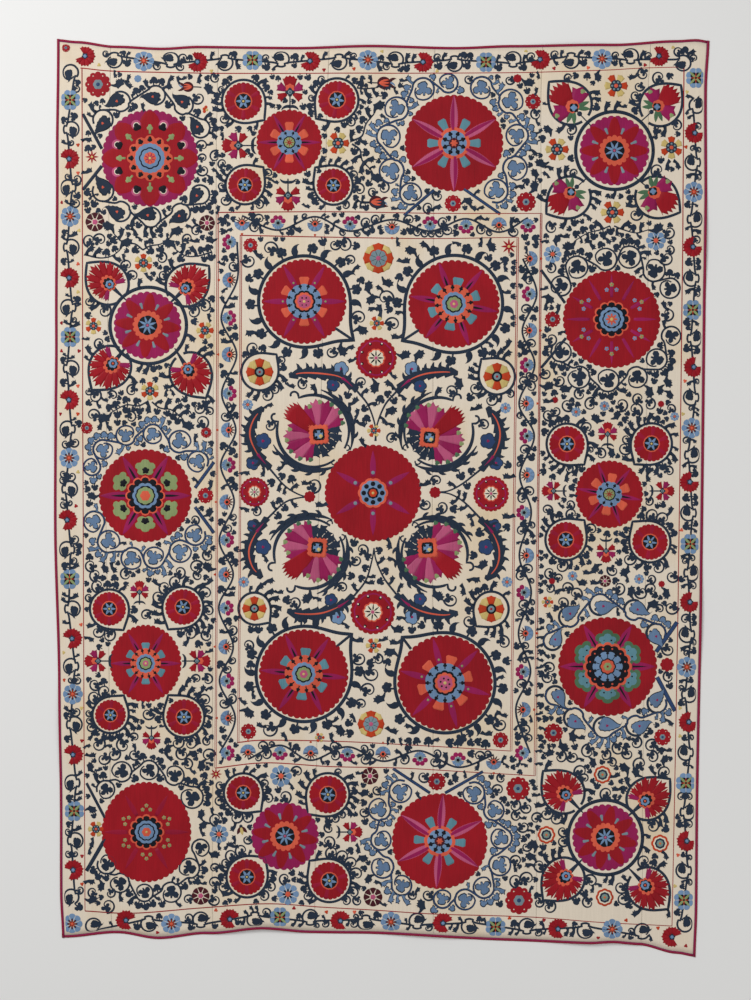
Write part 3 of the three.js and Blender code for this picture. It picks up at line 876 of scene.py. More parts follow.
ROSETTE_ROWS = table("""
kind      form   inner  outer  width  count  turn   thread
petals    rim    0      1.00   0.035  44     0      magenta
petals    star   0.66   0.985  1.3    8      0      red
petals    spot   0.735  0      0.105  8      22.5   pink
petals    spot   0.722  0      0.084  8      22.5   white
petals    spot   0.710  0      0.070  8      22.5   magenta
petals    tulip  0.62   0.690  0.060  8      22.5   ink
petals    tulip  0.50   0.630  0.052  8      0      sage
petals    rim    0      0.475  0.13   12     0      coral
petals    tulip  0.33   0.390  0.048  12     0      ink
petals    rim    0      0.315  0.05   16     0      sky
petals    rim    0      0.235  0.09   8      0      ink
petals    rim    0      0.205  0.09   8      0      sky
petals    rim    0      0.135  0.12   8      0      coral
petals    ray    0.02   0.13   0.020  8      22     magenta
petals    rim    0      0.035  0      0      0      ochre
lobes     rim    0      1.00   0.04   36     0      red
lobes     ray    0.30   0.97   0.085  6      0      magenta
lobes     wedge  0.26   0.62   0.190  6      30     coral
lobes     ray    0.25   0.68   0.036  6      0      ink
lobes     rim    0      0.385  0.08   14     0      sky
lobes     tulip  0.22   0.30   0.040  8      22.5   ink
lobes     rim    0      0.20   0.06   10     0      ink
lobes     rim    0      0.165  0.06   10     0      sage
lobes     ray    0.01   0.15   0.024  8      0      red
spindles  rim    0      1.00   0.03   44     0      red
spindles  wedge  0.28   0.54   0.130  6      0      teal
spindles  fern   0.27   0.98   0.110  6      30     pink
spindles  rim    0      0.33   0.05   12     0      coral
spindles  rim    0      0.265  0.07   8      0      sky
spindles  tulip  0.11   0.20   0.040  8      22.5   ink
spindles  rim    0      0.115  0.10   12     0      maroon
spindles  star   0.05   0.085  1.5    6      0      coral
wedges    rim    0      1.00   0.05   30     0      magenta
wedges    star   0.56   0.97   2.2    8      0      red
wedges    wedge  0.50   0.69   0.060  8      22.5   slate
wedges    rim    0      0.45   0.12   16     0      coral
wedges    rim    0      0.30   0.06   8      0      ink
wedges    ray    0.05   0.275  0.045  8      22.5   sky
wedges    rim    0      0.045  0      0      0      pink
sprigs    rim    0      1.00   0.03   44     0      red
sprigs    ray    0.38   0.97   0.110  6      0      magenta
sprigs    ray    0.38   0.74   0.034  6      0      ink
sprigs    fan    0.50   0.10   0.145  6      30     sage
sprigs    fan    0.48   0.06   0.070  6      30     ink
sprigs    rim    0      0.43   0.13   12     0      coral
sprigs    rim    0      0.40   0.13   12     0      ink
sprigs    spot   0.345  0      0.022  12     15     coral
sprigs    rim    0      0.285  0.10   10     0      sky
sprigs    rim    0      0.225  0.08   10     0      ink
sprigs    rim    0      0.195  0.08   8      0      sage
sprigs    rim    0      0.12   0.14   6      0      coral
flowers   rim    0      1.00   0.03   46     0      red
flowers   ray    0.45   0.93   0.045  12     0      magenta
flowers   spray  0.46   0.13   0.085  6      30     sky
flowers   rim    0      0.385  0.12   12     0      coral
flowers   rim    0      0.355  0.12   12     0      ink
flowers   spot   0.305  0      0.020  12     15     coral
flowers   rim    0      0.26   0.09   10     0      sky
flowers   rim    0      0.20   0.09   10     0      ink
flowers   rim    0      0.17   0.09   8      0      sky
flowers   star   0.06   0.13   1.2    8      0      coral
flowers   rim    0      0.045  0      0      0      ochre
bold      rim    0      1.00   0.03   44     0      red
bold      ray    0.35   0.96   0.120  6      0      magenta
bold      ray    0.35   0.80   0.026  6      0      ink
bold      fan    0.46   0.08   0.165  6      30     green
bold      fan    0.44   0.08   0.120  6      30     teal
bold      spot   0.53   0      0.022  6      22     ink
bold      spot   0.53   0      0.022  6      38     ink
bold      rim    0      0.495  0.09   16     0      coral
bold      rim    0      0.445  0.08   16     0      ink
bold      spot   0.365  0      0.026  12     15     coral
bold      rim    0      0.31   0.11   10     0      sky
bold      tulip  0.17   0.27   0.030  10     18     ink
bold      rim    0      0.175  0.10   8      0      ink
bold      rim    0      0.15   0.12   8      0      coral
bold      rim    0      0.09   0.10   6      0      sage
bold      rim    0      0.035  0      0      0      red
great     rim    0      1.00   0.04   42     0      red
great     ray    0.40   0.97   0.085  6      0      magenta
great     wedge  0.36   0.58   0.170  6      30     coral
great     spot   0.50   0      0.030  6      0      sage
great     rim    0      0.42   0.06   12     0      sky
great     tulip  0.29   0.37   0.036  12     15     ink
great     rim    0      0.27   0.10   10     0      ink
great     rim    0      0.225  0.10   10     0      coral
great     rim    0      0.17   0.10   8      0      pink
great     spot   0.095  0      0.026  6      0      ink
great     rim    0      0.04   0      0      0      ochre
disc      rim    0      1.00   0.06   24     0      red
disc      wedge  0.40   0.94   0.170  6      30     crimson
disc      rim    0      0.48   0.04   12     0      coral
disc      rim    0      0.42   0.03   12     0      ink
disc      ray    0.06   0.40   0.095  6      0      sky
disc      rim    0      0.13   0      0      0      ink
disc      rim    0      0.075  0      0      0      ochre
bstar     rim    0      1.00   0.13   8      0      sky
bstar     ray    0.20   1.00   0.030  8      22.5   white
bstar     star   0.22   0.60   1.4    8      0      ink
bstar     ray    0.05   0.45   0.055  8      0      rust
bstar     rim    0      0.17   0      0      0      coral
bcross    rim    0      1.00   0.15   8      22.5   sky
bcross    ray    0.30   1.00   0.028  8      0      white
bcross    rim    0      0.62   0.30   4      45     ink
bcross    ray    0.10   0.88   0.150  4      45     sage
bcross    ray    0.04   0.52   0.060  4      0      rust
bcross    rim    0      0.12   0      0      0      ink
blossom   rim    0      1.00   0.16   8      0      sky
blossom   ray    0.25   1.00   0.035  8      22.5   white
blossom   star   0.20   0.55   1.4    8      0      ink
blossom   rim    0      0.30   0.20   5      0      coral
star8     rim    0      1.00   0.05   8      0      maroon
star8     ray    0.25   0.98   0.060  8      22.5   white
star8     rim    0      0.42   0.15   8      0      white
star8     rim    0      0.36   0.20   5      0      pink
wheel3    fans   0.30   1.00   0.330  3      60     ochre
wheel3    fans   0.30   1.00   0.330  3      0      rust
wheel3    rim    0      0.52   0.12   6      0      navy
wheel3    spot   0.33   0      0.110  6      0      slate
wheel3    rim    0      0.20   0      0      0      coral
ringlet   rim    0      1.00   0.10   8      0      rust
ringlet   rim    0      0.79   0.10   8      0      white
ringlet   rim    0      0.62   0.08   8      0      navy
ringlet   rim    0      0.45   0.10   8      0      slate
ringlet   ray    0.05   0.40   0.070  6      0      sage
ringlet   rim    0      0.14   0      0      0      coral
wheel4    fans   0.35   1.00   0.370  4      45     ochre
wheel4    fans   0.35   1.00   0.370  4      0      rust
wheel4    rim    0      0.66   0.06   8      0      rust
wheel4    rim    0      0.58   0.10   8      0      slate
wheel4    ray    0.15   0.58   0.020  8      22.5   ink
wheel4    rim    0      0.18   0      0      0      pink
wheel8    fans   0.30   1.00   0.350  4      45     ochre
wheel8    fans   0.30   1.00   0.350  4      0      rust
wheel8    rim    0      0.38   0      0      0      ink
wheel8    rim    0      0.29   0      0      0      slate
wheel8    rim    0      0.11   0      0      0      red
holes     rim    0      1.00   0.06   24     0      red
holes     rim    0      0.86   0.03   12     0      magenta
holes     rim    0      0.80   0.03   12     0      red
holes     spot   0.71   0      0.085  8      22.5   ink
holes     spot   0.74   0      0.045  8      22.5   white
holes     rim    0      0.46   0.12   10     0      coral
holes     rim    0      0.40   0.12   10     0      white
holes     ray    0.10   0.37   0.052  8      0      ink
holes     rim    0      0.10   0      0      0      pink
centre    rim    0      1.00   0.03   48     0      red
centre    ray    0.34   0.88   0.080  6      30     magenta
centre    spot   0.42   0      0.045  6      30     slate
centre    rim    0      0.315  0.08   10     0      coral
centre    rim    0      0.27   0.08   10     0      sky
centre    spot   0.19   0      0.060  8      0      ink
centre    rim    0      0.125  0.10   8      0      ink
centre    rim    0      0.09   0.10   6      0      rust
centre    rim    0      0.035  0      0      0      ochre
flower    rim    0      1.00   0.22   8      0      sky
flower    rim    0      0.52   0.20   8      0      ink
flower    rim    0      0.30   0.10   8      0      coral
small     rim    0      1.00   0.12   12     0      red
small     spot   0.74   0      0.060  6      0      white
small     rim    0      0.40   0.12   6      0      slate
small     rim    0      0.18   0      0      0      blue
sages     rim    0      1.00   0.03   46     0      red
sages     ray    0.42   0.95   0.070  6      0      crimson
sages     spray  0.38   0.11   0.085  6      30     sage
sages     rim    0      0.40   0.12   12     0      coral
sages     rim    0      0.365  0.12   12     0      ink
sages     spot   0.31   0      0.020  12     15     coral
sages     rim    0      0.265  0.08   10     0      sky
sages     rim    0      0.205  0.08   10     0      ink
sages     rim    0      0.175  0.08   10     0      sky
sages     rim    0      0.11   0.12   6      0      coral
sages     rim    0      0.035  0      0      0      ochre
deep      rim    0      1.00   0.04   42     0      red
deep      ray    0.40   0.97   0.085  6      0      magenta
deep      wedge  0.36   0.58   0.170  6      30     teal
deep      ray    0.38   0.66   0.030  6      0      ink
deep      rim    0      0.43   0.08   12     0      coral
deep      tulip  0.28   0.37   0.038  12     15     ink
deep      rim    0      0.27   0.08   12     0      sky
deep      rim    0      0.20   0.10   8      0      ink
deep      rim    0      0.165  0.10   8      0      sage
deep      rim    0      0.10   0.12   6      0      pink
deep      rim    0      0.04   0      0      0      ochre
burst     ray    0.10   1.00   0.150  8      0      red
burst     rim    0      0.22   0      0      0      ochre
""")
ROSETTE_KINDS = {}
for rosette_row in ROSETTE_ROWS:
    ROSETTE_KINDS.setdefault(rosette_row.kind, []).append(rosette_row)


def spoke(work, x, y, angle, row, radius, height):
    """One of a rosette's repeated shapes, set at an angle round its centre."""
    start, end = row.inner * radius, row.outer * radius
    half = row.width * radius
    foot = toward(x, y, angle, start)
    if row.form == "ray":
        path = stroke(*foot, angle, end - start, 0, 9)
        t = np.linspace(0, 1, 9)
        work.blade(path, half * np.sin(math.pi * (0.25 + 0.75 * t)) ** 0.9, row.thread, height)
    elif row.form == "wedge":
        path = stroke(*foot, angle, end - start, 0, 7)
        t = np.linspace(0, 1, 7)
        work.blade(path, half * (0.5 + 0.5 * t) * np.clip((1 - t) * 6, 0.45, 1) ** 0.5, row.thread, height)
    elif row.form == "spot":
        work.disc(*foot, half, row.thread, height)
    elif row.form == "tulip":
        top = toward(x, y, angle, end)
        work.blade(stroke(*foot, angle, end - start, 0, 4), half * 0.5, row.thread, height)
        work.disc(*top, half * 1.5, row.thread, height, lobes=3, depth=0.35, power=0.8, turn=angle)
    elif row.form == "fern":
        path = stroke(*foot, angle, end - start, 0, 41)
        t = np.linspace(0, 1, 41)
        body = half * np.sin(math.pi * (0.22 + 0.78 * t)) ** 0.9 * (0.82 + 0.18 * (np.arange(41) % 2))
        work.blade(path, body, row.thread, height)
        work.blade(path, (body * 0.12, body * 0.86), "magenta", height + 0.12)
    elif row.form == "fan":
        middle = toward(x, y, angle, start + end)
        work.disc(*middle, half * 1.25, row.thread, height, lobes=5, depth=0.25, squash=1.25, tilt=angle, turn=angle)
    elif row.form == "fans":
        petal(work, x, y, angle, start, end, half * 0.5, half, row.thread, height, 2, 0.08)
    elif row.form == "spray":
        for lean, reach, thread in ((0, 1.9, "sage"), (9.5, 1.15, row.thread), (-9.5, 1.15, row.thread)):
            tip = toward(x, y, angle + lean, start + end * reach)
            work.disc(*tip, half * 0.62, thread, height + 0.1, lobes=5, depth=0.3, turn=angle)
            work.disc(*tip, half * 0.22, "coral", height + 0.2)


def rosette(work, kind, x, y, radius, turn=0.0, squash=1.0):
    """Lays a rosette's rows of silk from the widest to the smallest."""
    for k, row in enumerate(ROSETTE_KINDS[kind]):
        height = 0.42 + 0.055 * k
        if row.form == "rim":
            work.disc(x, y, row.outer * radius, row.thread, height, lobes=int(row.count),
                      depth=row.width, turn=turn + row.turn, squash=squash if k == 0 else 1)
        elif row.form == "star":
            work.disc(x, y, row.outer * radius, row.thread, height, lobes=int(row.count), turn=turn + row.turn,
                      depth=1 - row.inner / row.outer, power=row.width, squash=squash)
        else:
            for angle in ring(row.count, turn + row.turn):
                spoke(work, x, y, angle, row, radius, height)


# Where the rosettes are: centre, radius and turn in view pixels and degrees

ROSETTES = table("""
kind      x      y      radius  turn  squash
petals    150    158.3  48.6    0     1.0
lobes     289.3  142.4  33      0     1.0
spindles  454    143.2  49.5    0     0.98
wedges    614.4  150.7  35      0     1.0
wedges    147.6  325.4  34      5     1.0
sprigs    145.3  495.7  46.7    0     1.0
deep      145.7  663.4  36      0     1.08
sages     146.5  832    45      0     1.12
wedges    285    836    34      8     1.0
spindles  439.7  841    48      4     1.0
wedges    605.3  837.3  33.3    12    1.0
flowers   611.6  319.3  49      0     1.0
lobes     609.2  494.3  34      10    1.0
bold      607.6  666.5  49.7    0     1.0
great     304.2  301.5  42.6    0     1.0
deep      454    304    46      10    0.96
deep      303.7  674    45      5     1.0
great     445    682.9  48      15    1.0
centre    373    493    48.5    0     1.0
""")

DISCS = table("""
kind    x      y      radius  turn
disc    243.4  101.3  19      0
disc    337    100    19      10
disc    245    185    17      5
disc    333.4  185.4  17      0
disc    109.3  608.8  17      0
disc    183    607    18      10
disc    110.6  715    15.6    5
disc    184    717    18      0
disc    243.3  792.7  17      0
disc    328    794.5  19      8
disc    247    876.6  18      0
disc    329.4  880.7  19      12
disc    567    444    18      0
disc    651.5  443.7  18      7
disc    565.8  539.7  18      0
disc    650    542    18      9
holes   376    358    21      0
holes   372.7  612    22.5    6
holes   254.5  492    15      0
holes   491    493.6  18      0
""")


# The layout, in view pixels


def numbers(text, width):
    """A list of number rows from plain text."""
    words = text.replace(",", " ").split()
    return [tuple(map(float, words[k:k + width])) for k in range(0, len(words), width)]


# The red lines: half width and the places each passes
RULES = """
0.62 80.5,68 118,71.5 200,73.2 300,73.4 420,73.2 520,72.6 600,70.6 640,68.2 684,67
0.62 82,68 82.3,200 82.8,400 83.5,600 84.3,760 85,911
0.62 684,67 682.5,250 680.6,420 678.6,560 675.8,730 672,926
0.62 85,911 133,913.2 200,908 265,903.4 320,907 373,910 440,914 530,917 600,922 672,926
0.62 217.2,212.5 330,211.8 440,213.4 541.4,213.5
0.62 240,235.4 330,237.2 430,238.6 518,237.3
0.62 215.3,768 266,762.8 330,766.5 400,768 470,772 535,775.7
0.62 238,742.4 265,740.2 340,741.4 420,745.5 511.2,751
0.42 217,212.5 216.4,400 215.8,600 214.8,768
0.42 218.6,213.4 218,400 217.2,600 216.3,767
0.42 240.2,235.5 239.6,400 238.8,600 237.4,742.4
0.42 241.8,236.4 241.1,400 240.3,600 239,741.6
0.42 542,213.5 540,400 537.6,600 535.6,775.7
0.42 540.4,214.4 538.5,400 536,600 534,774.8
0.42 518.6,237.3 516.2,400 513.8,600 511.9,751
0.42 517,238.2 514.6,400 512.2,600 510.3,750.2
"""

# The outer border's flowers in order round the cloth: C carnation, B and X the two blue kinds
BORDER = {
    "top": ("C 85 56 B 144 61 C 197.5 62 X 252.5 60 C 310 61 B 368 60 C 423 62 X 486 62 C 540 59.5 "
            "B 602 59 C 659 56", (0, -1), 20),
    "right": ("X 696 78 C 695 133 B 694 192 C 693 247 X 693 310 C 694 367 B 692 428 C 690 482 X 690.5 544 "
              "C 690 602 B 687 667 C 689 722 X 686 783 C 687 841 X 684 900", (1, 0), 140),
    "bottom": ("C 672 937 B 612 929 C 558 929 X 495.5 927 C 443 923 B 391 922 C 340.5 921 X 280 917 "
               "C 230 919 B 171.5 924 C 126 920.5", (0, 1), 200),
    "left": ("B 72 924 C 73 870 X 74 811 C 73 754.6 B 72.6 694 C 72 638.6 X 69.5 579 C 67 520 B 69 458 "
             "C 69 400 X 70 337 C 69 278 B 70 216.5 C 69 159 X 70 100", (-1, 0), -25),
}

# The inner border's half flowers: kind, place and the way each opens
MEANDERS = (
    "b 242 223 90 m 278 223 -90 b 315 224 90 m 350 224 -90 b 392 227 90 m 430 224 -90 m 466 226 90 "
    "b 499 225 -90 m 528 225 90",
    "b 530 258.7 0 m 529.5 294 180 b 529.5 330.5 0 m 527.5 365 180 b 526.3 403.5 0 m 527 436 180 "
    "b 527 475 0 m 524 512.6 180 b 526.5 555.5 0 m 524 592.5 180 b 525.7 633.3 0 m 523.3 671.7 180 "
    "b 523 709.6 0 m 522.7 753 180",
    "b 493.7 762 90 m 458 760 -90 m 420 758 90 b 383 754 -90 m 347.4 754 90 b 310.7 753 -90 m 280 752.5 90 "
    "b 248 752 -90",
    "m 227 753 0 b 228 718 180 m 226.7 681 0 b 226 646.7 180 m 226 608 0 b 226 574.5 180 m 226.5 540 0 "
    "b 227 502 180 m 228 465 0 b 228.6 430 180 m 229 393.5 0 b 229.4 354.5 180 m 228.5 318 0 b 230 280 180 "
    "m 230 242 180",
)

# Vines round the rosettes: the rosette's middle, the kind, the side the first loop is passed on, and
# the loops as x, y and radius
GARLANDS = (
    ((150, 158), "paisley", 1, "103 120 10  120.4 101.8 10  155.8 95.5 9.5  183.5 105.2 9.5  200.4 128.3 9.5"),
    ((150, 158), "paisley", 1, "103 191 10.5  120.5 211.5 10  150.7 217.3 10  180.7 213 9.5  200 194.6 9.5"),
    ((454, 143), "sky", 1, "410.6 193.9 10.8  391.7 171.1 12.2  388.3 136.7 11.7  396.7 108.9 11.7  423 89 11  448.3 83.3 9.4"),
    ((454, 143), "sky", 1, "496.1 191.1 11.7  515 168.3 12  517.2 135.6 11  510.6 101.7 12.2  481.7 87.8 11"),
    ((147.6, 495), "sky", 1, "198 461.5 10.4  179.8 441.7 11  153 434 9.6  126 435.5 9.8  103 449.5 9.6  92 467 8.5"),
    ((147.6, 495), "sky", 1, "195.3 535 10.2  180.3 551.2 11  154.2 557.8 10.6  132 558.4 10.8  108.7 541.7 11 "
     "94.2 521.7 10.4"),
    ((147.8, 831.7), "navy", 1, "105.6 789.4 9  121.7 771.7 10  148.9 770 9.6  174.4 775.6 9.6  192.2 797.2 11"),
    ((147.8, 831.7), "navy", 1, "106.7 864.4 9.4  120 882.8 9.6  144.4 892.8 8.6  171.1 892.2 10  189.4 868.3 10 "
     "200.5 847.8 8.6"),
    ((439.7, 841), "sky", 1, "400.3 791.2 11.2  379.7 809.4 11  380.9 840 10  382.6 867 11  401.5 885.3 10"),
    ((439.7, 841), "sky", 1, "473.8 792.9 10.8  493.8 810.6 10  501.5 838.2 10.4  499.7 864.7 10.8  483.8 887.6 10.4 "
     "465 899.4 10.2  442.6 898.8 9"),
    ((612.2, 319.4), "navy", -1, "561 286 10  576.7 267.2 11  605.6 259.4 11  629.4 257.2 11  653.9 270.6 11  670 288.3 10"),
    ((612.2, 319.4), "navy", 1, "561 352 10  578.9 377.2 11  607.8 380.6 11  636.7 377.2 10.4  656.7 359.4 10.4 "
     "671.1 336.1 9.6"),
    ((607.6, 666.5), "blue", 1, "656 633 9.5  634 610 10  600 604.5 10.5  569 617 10  552.5 641 9"),
    ((607.6, 666.5), "blue", 1, "657 703.3 9.5  636 725.6 10  604 727.5 10.5  574 718 10  555 695.6 9.5"),
)

# Round discs ringed by a leafy vine, with the place each ring's tip points to
RINGED = """
x      y      r     tx    ty
243.4  101.3  19    289.3 142.4
337    100    19    289.3 142.4
245    185    17    289.3 142.4
333.4  185.4  17    289.3 142.4
109.3  608.8  17    145.7 663.4
183    607    18    145.7 663.4
110.6  715    15.6  145.7 663.4
184    717    18    145.7 663.4
243.3  792.7  17    285   836
328    794.5  19    285   836
247    876.6  18    285   836
329.4  880.7  19    285   836
567    444    18    609.2 494.3
651.5  443.7  18    609.2 494.3
565.8  539.7  18    609.2 494.3
650    542    18    609.2 494.3
259.7  372    16    300   330
497    376.6  15.5  455   330
254.4  608.5  13.5  300   650
491.2  609    15    455   650
"""

# Drop cartouches: the drop's middle and tip, and its flower's eye and kind
DROPS = """
x      y      tx     ty     ex     ey     kind
571    104.4  549    82     573.7  108    lily
660    105.8  681    85.4   657    107    lily
570.2  197    546.3  213.8  571    192    lily
655.7  197    680    212.4  653    191.5  lily
108.2  284.3  87     263    109.6  284.5  fan
186.3  286    209    266    185.4  288.4  fan
110.6  366.4  92     390    113    363.5  fan
190.3  372.8  206    398    188    369.4  fan
564    793    543    771    566    795    fan
647    799.5  670    779    645    801    fan
564    878    543    900    566    876    fan
647.6  887.6  668    909    645    885    fan
"""

# Cream and navy rings round the rosettes that carry the drops
COLLARS = """
x      y      r
614.4  150.7  38.8
148.3  325.5  38.2
605.3  837.3  37.2
"""

# The great discs' rings in the field: place, radius and tip
MEDALLIONS = """
x      y      r     tx     ty
304.2  301.5  45.6  353.9  340.6
454    304    48.6  402    341
303.7  674    47.6  352    634
445    682.9  50    402    637
"""

SINGLES = """
small   65.6   47.5   4.6  0    red
small   98     84.5   13   0    red
star8   95     222    9.6  0    red
star8   207    223    8    0    red
burst   92     157    6.7  0    red
dot     138    79     4    0    sky
pomegranate 188 87    9    180  red
paw     207    110    5    200  rust
pink    290    92.2   14.5 -90  red
pink    238.3  145.6  14.5 180  red
pink    288    195.6  13.5 90   red
wheel3  338.1  143.3  11.5 0    red
pomegranate 384 83    11   0    red
pomegranate 376 202   11   0    red
dot     517.5  78.5   4.4  0    red
small   453    203.5  8.6  0    red
small   533    101.6  8    0    red
small   526    202    10   0    red
wheel3  616    86     12   0    red
wheel3  557    149.5  12   0    red
wheel3  671.5  147.6  11.5 30   red
wheel3  612.3  212.4  12   0    red
blossom 655.8  240.6  10   0    red
wheel3  143.5  263    9.5  30   red
wheel3  93.5   326    8.5  30   red
wheel3  205    330.5  9    0    red
wheel3  150    391    9.5  30   red
small   206.2  432.6  5.5  0    red
small   87     428    6    0    red
small   205.5  495.5  8    0    red
pink    98     661    12   180  red
pink    197    661    12   0    red
pink    139.5  592    10   -90  red
pink    151.5  738    10   90   red
wheel3  96     829    8.2  0    red
star8   200.7  895.7  9    0    red
blossom 281    776    11   -90  red
tulip   241    826    9    80   maroon
pink    350    832    11   0    red
blossom 288    894    11   90   red
burst   216    774    6    0    red
blossom 219    834    9.5  0    red
star8   370    776    8.5  0    red
star8   373    897    9.5  0    red
small   436.8  781.5  9    0    red
small   518    788.5  12   0    red
small   519    900.4  14   0    red
ringlet 602.5  774.6  9    0    red
ringlet 546.4  834.8  9    0    red
ringlet 660    843.4  9    0    red
ringlet 604.5  897    9    0    red
small   553.4  732.8  9.6  0    red
small   662.5  737    8.6  0    red
small   552.6  319.3  8    0    red
blossom 552.6  254.2  9    0    red
pink    607.6  434    10.5 -90  red
pink    606    551    10.5 90   red
pink    553.5  491    10.5 180  red
pink    662.6  491    10.5 0    red
blossom 576    412    5    0    red
blossom 604.4  406    5    0    red
blossom 674.6  416.5  4.5  0    red
blossom 572.5  576    5    0    red
blossom 639    579    5    0    red
star8   605    581    6    0    red
dot     555    400    3.6  0    red
dot     661    404    3.6  0    red
dot     552    581    3.6  0    red
dot     661.5  584    3.6  0    red
wheel3  547.4  602    6    0    red
dot     667    664.6  7    0    red
wheel4  378.3  258.3  15.5 0    red
wheel4  371    724    13.7 0    red
wheel8  259.7  372    14   0    red
wheel8  497    376.6  14   0    red
wheel8  254.4  608.5  12.5 0    red
wheel8  491.2  609    13.5 0    red
wheel3  376.8  323.3  7.5  0    red
wheel3  373.5  645.6  8    0    red
wheel3  373.8  430.7  7    0    red
dot     309.6  496.7  5.8  0    red
dot     435    492.4  5.8  0    red
small   250.5  245.3  7.3  0    red
burst   508.9  246.5  8    0    red
small   248.4  731.4  8    0    red
small   500.5  740    8    0    red
wheel3  319.7  737.5  5    0    red
blossom 247.7  404.7  5.5  0    red
blossom 505.4  408    5.5  0    red
blossom 243.7  582    5.5  0    red
blossom 507    582    5.5  0    red
"""

# Thick straight stems from the inner and outer frames to the rosettes: half width and ends
BEAMS = {
    "navy": """
1.8 82.8,114 102,149
1.9 82.8,190 102,166
1.6 86.5,783 105,818
2.2 86.5,871 105,839
1.6 541,270 565,303
1.6 541,368 566,338
1.5 335,328 353,340
1.5 419,330 402,341
1.5 336,647 352,634
1.5 411,649 402,637
""",
    "blue": """
1.7 434,190 404,215.5
1.7 464,189 500,214
1.9 195,488 214,462
1.9 195,507 214,533
1.7 430,793 393,768.5
1.7 445,793 483,771.5
2.4 656,652 677,622
2.4 657,677 675,711
""",
}

# Free stems that carry leaves
SPRAYS = """
1.2 352,141 362,136 366,124 374,114
1.2 352,144 360,150 362,160 371,170
1.0 143,250 150,246 161,244 170,238
1.0 143,250 135,244 124,243 114,234
1.0 357,88 364,89 376,88
1.0 358,200 362,203 370,203
0.9 610,226 600,230 588,233 576,240
0.9 614,226 624,230 636,233 648,230
1.0 147,402 138,406 126,405 112,412
1.0 152,402 160,408 172,410 182,418
1.0 86,255 100,258 112,256 120,250
1.0 212,252 198,256 186,256 176,250
"""


def lily(work, ex, ey, turn, reach):
    """The flower in a drop with two side petals: a broad red middle petal, a magenta petal with a green
    tip on each side, green sepals, and a sky star eye on a navy bulb."""
    petal(work, ex, ey, turn, 2, reach, reach * 0.14, reach * 0.46, "red", 0.45, 6, 0.17)
    for side in (-1, 1):
        petal(work, ex, ey, turn + 66 * side, 2, reach * 0.74, reach * 0.12, reach * 0.30, "magenta", 0.5, 2, 0.16)
        gx, gy = toward(ex, ey, turn + 72 * side, reach * 0.60)
        work.disc(gx, gy, reach * 0.10, "sage", 0.58, lobes=3, depth=0.3)
        for lean in (112, 138):
            spindle(work, *toward(ex, ey, turn + lean * side, 2), turn + lean * side, reach * 0.48, "green", 0.17)
    work.disc(*toward(ex, ey, turn, reach * 0.06), reach * 0.23, "coral", 0.56, lobes=8, depth=0.12)
    work.disc(ex, ey, reach * 0.17, "ink", 0.64, lobes=4, depth=0.25, turn=turn)
    work.disc(ex, ey, reach * 0.13, "sky", 0.70, lobes=4, depth=0.35, turn=turn + 45)
    stem(work, stroke(ex, ey, turn + 180, reach * 0.80, 0, 5), 0.65)
    work.disc(*toward(ex, ey, turn + 180, reach * 0.27), reach * 0.09, "navy", 0.56)


def fan(work, ex, ey, turn, reach):
    """The flower in a drop with a full fan: narrow red toothed petals parted by gaps, the last on each
    side magenta, round a toothed coral heart with a navy flame and a sky eye."""
    for k in range(-5, 6):
        lean = k * 24.0
        thread = "magenta" if abs(k) == 5 else "red"
        far = reach * (0.64 + 0.36 * math.cos(math.radians(lean) / 2) ** 6)
        petal(work, ex, ey, turn + lean, reach * 0.14, far, far * 0.07, far * 0.165, thread, 0.5, 2, 0.16)
    work.disc(*toward(ex, ey, turn, reach * 0.07), reach * 0.33, "coral", 0.58, lobes=10, depth=0.2, turn=turn,
              squash=0.9, tilt=turn)
    work.disc(*toward(ex, ey, turn, reach * 0.04), reach * 0.25, "ink", 0.64, lobes=8, depth=0.2, turn=turn,
              squash=0.88, tilt=turn)
    work.disc(ex, ey, reach * 0.17, "sky", 0.70, lobes=6, depth=0.16, turn=turn)
    work.disc(ex, ey, reach * 0.09, "ink", 0.76)
    work.disc(ex, ey, reach * 0.05, "coral", 0.82)
    path = stroke(ex, ey, turn + 180, reach * 0.86, 0, 6)
    stem(work, path, np.linspace(reach * 0.11, 0.6, 6))


def drop_cartouche(work, row):
    """A drop outlined by a leafy vine, with its flower inside."""
    heading = math.degrees(math.atan2(row.tip_y - row.y, row.tip_x - row.x))
    turn = math.degrees(math.atan2(row.tip_y - row.ey, row.tip_x - row.ex))
    reach = math.hypot(row.tip_x - row.ex, row.tip_y - row.ey) * 0.86
    {"lily": lily, "fan": fan}[row.kind](work, row.ex, row.ey, turn, reach)
    path = drop_path(row.x, row.y, 20.5, row.tip_x, row.tip_y, gap=24)
    GROUND.mark(row.x, row.y, 19)
    return path, heading


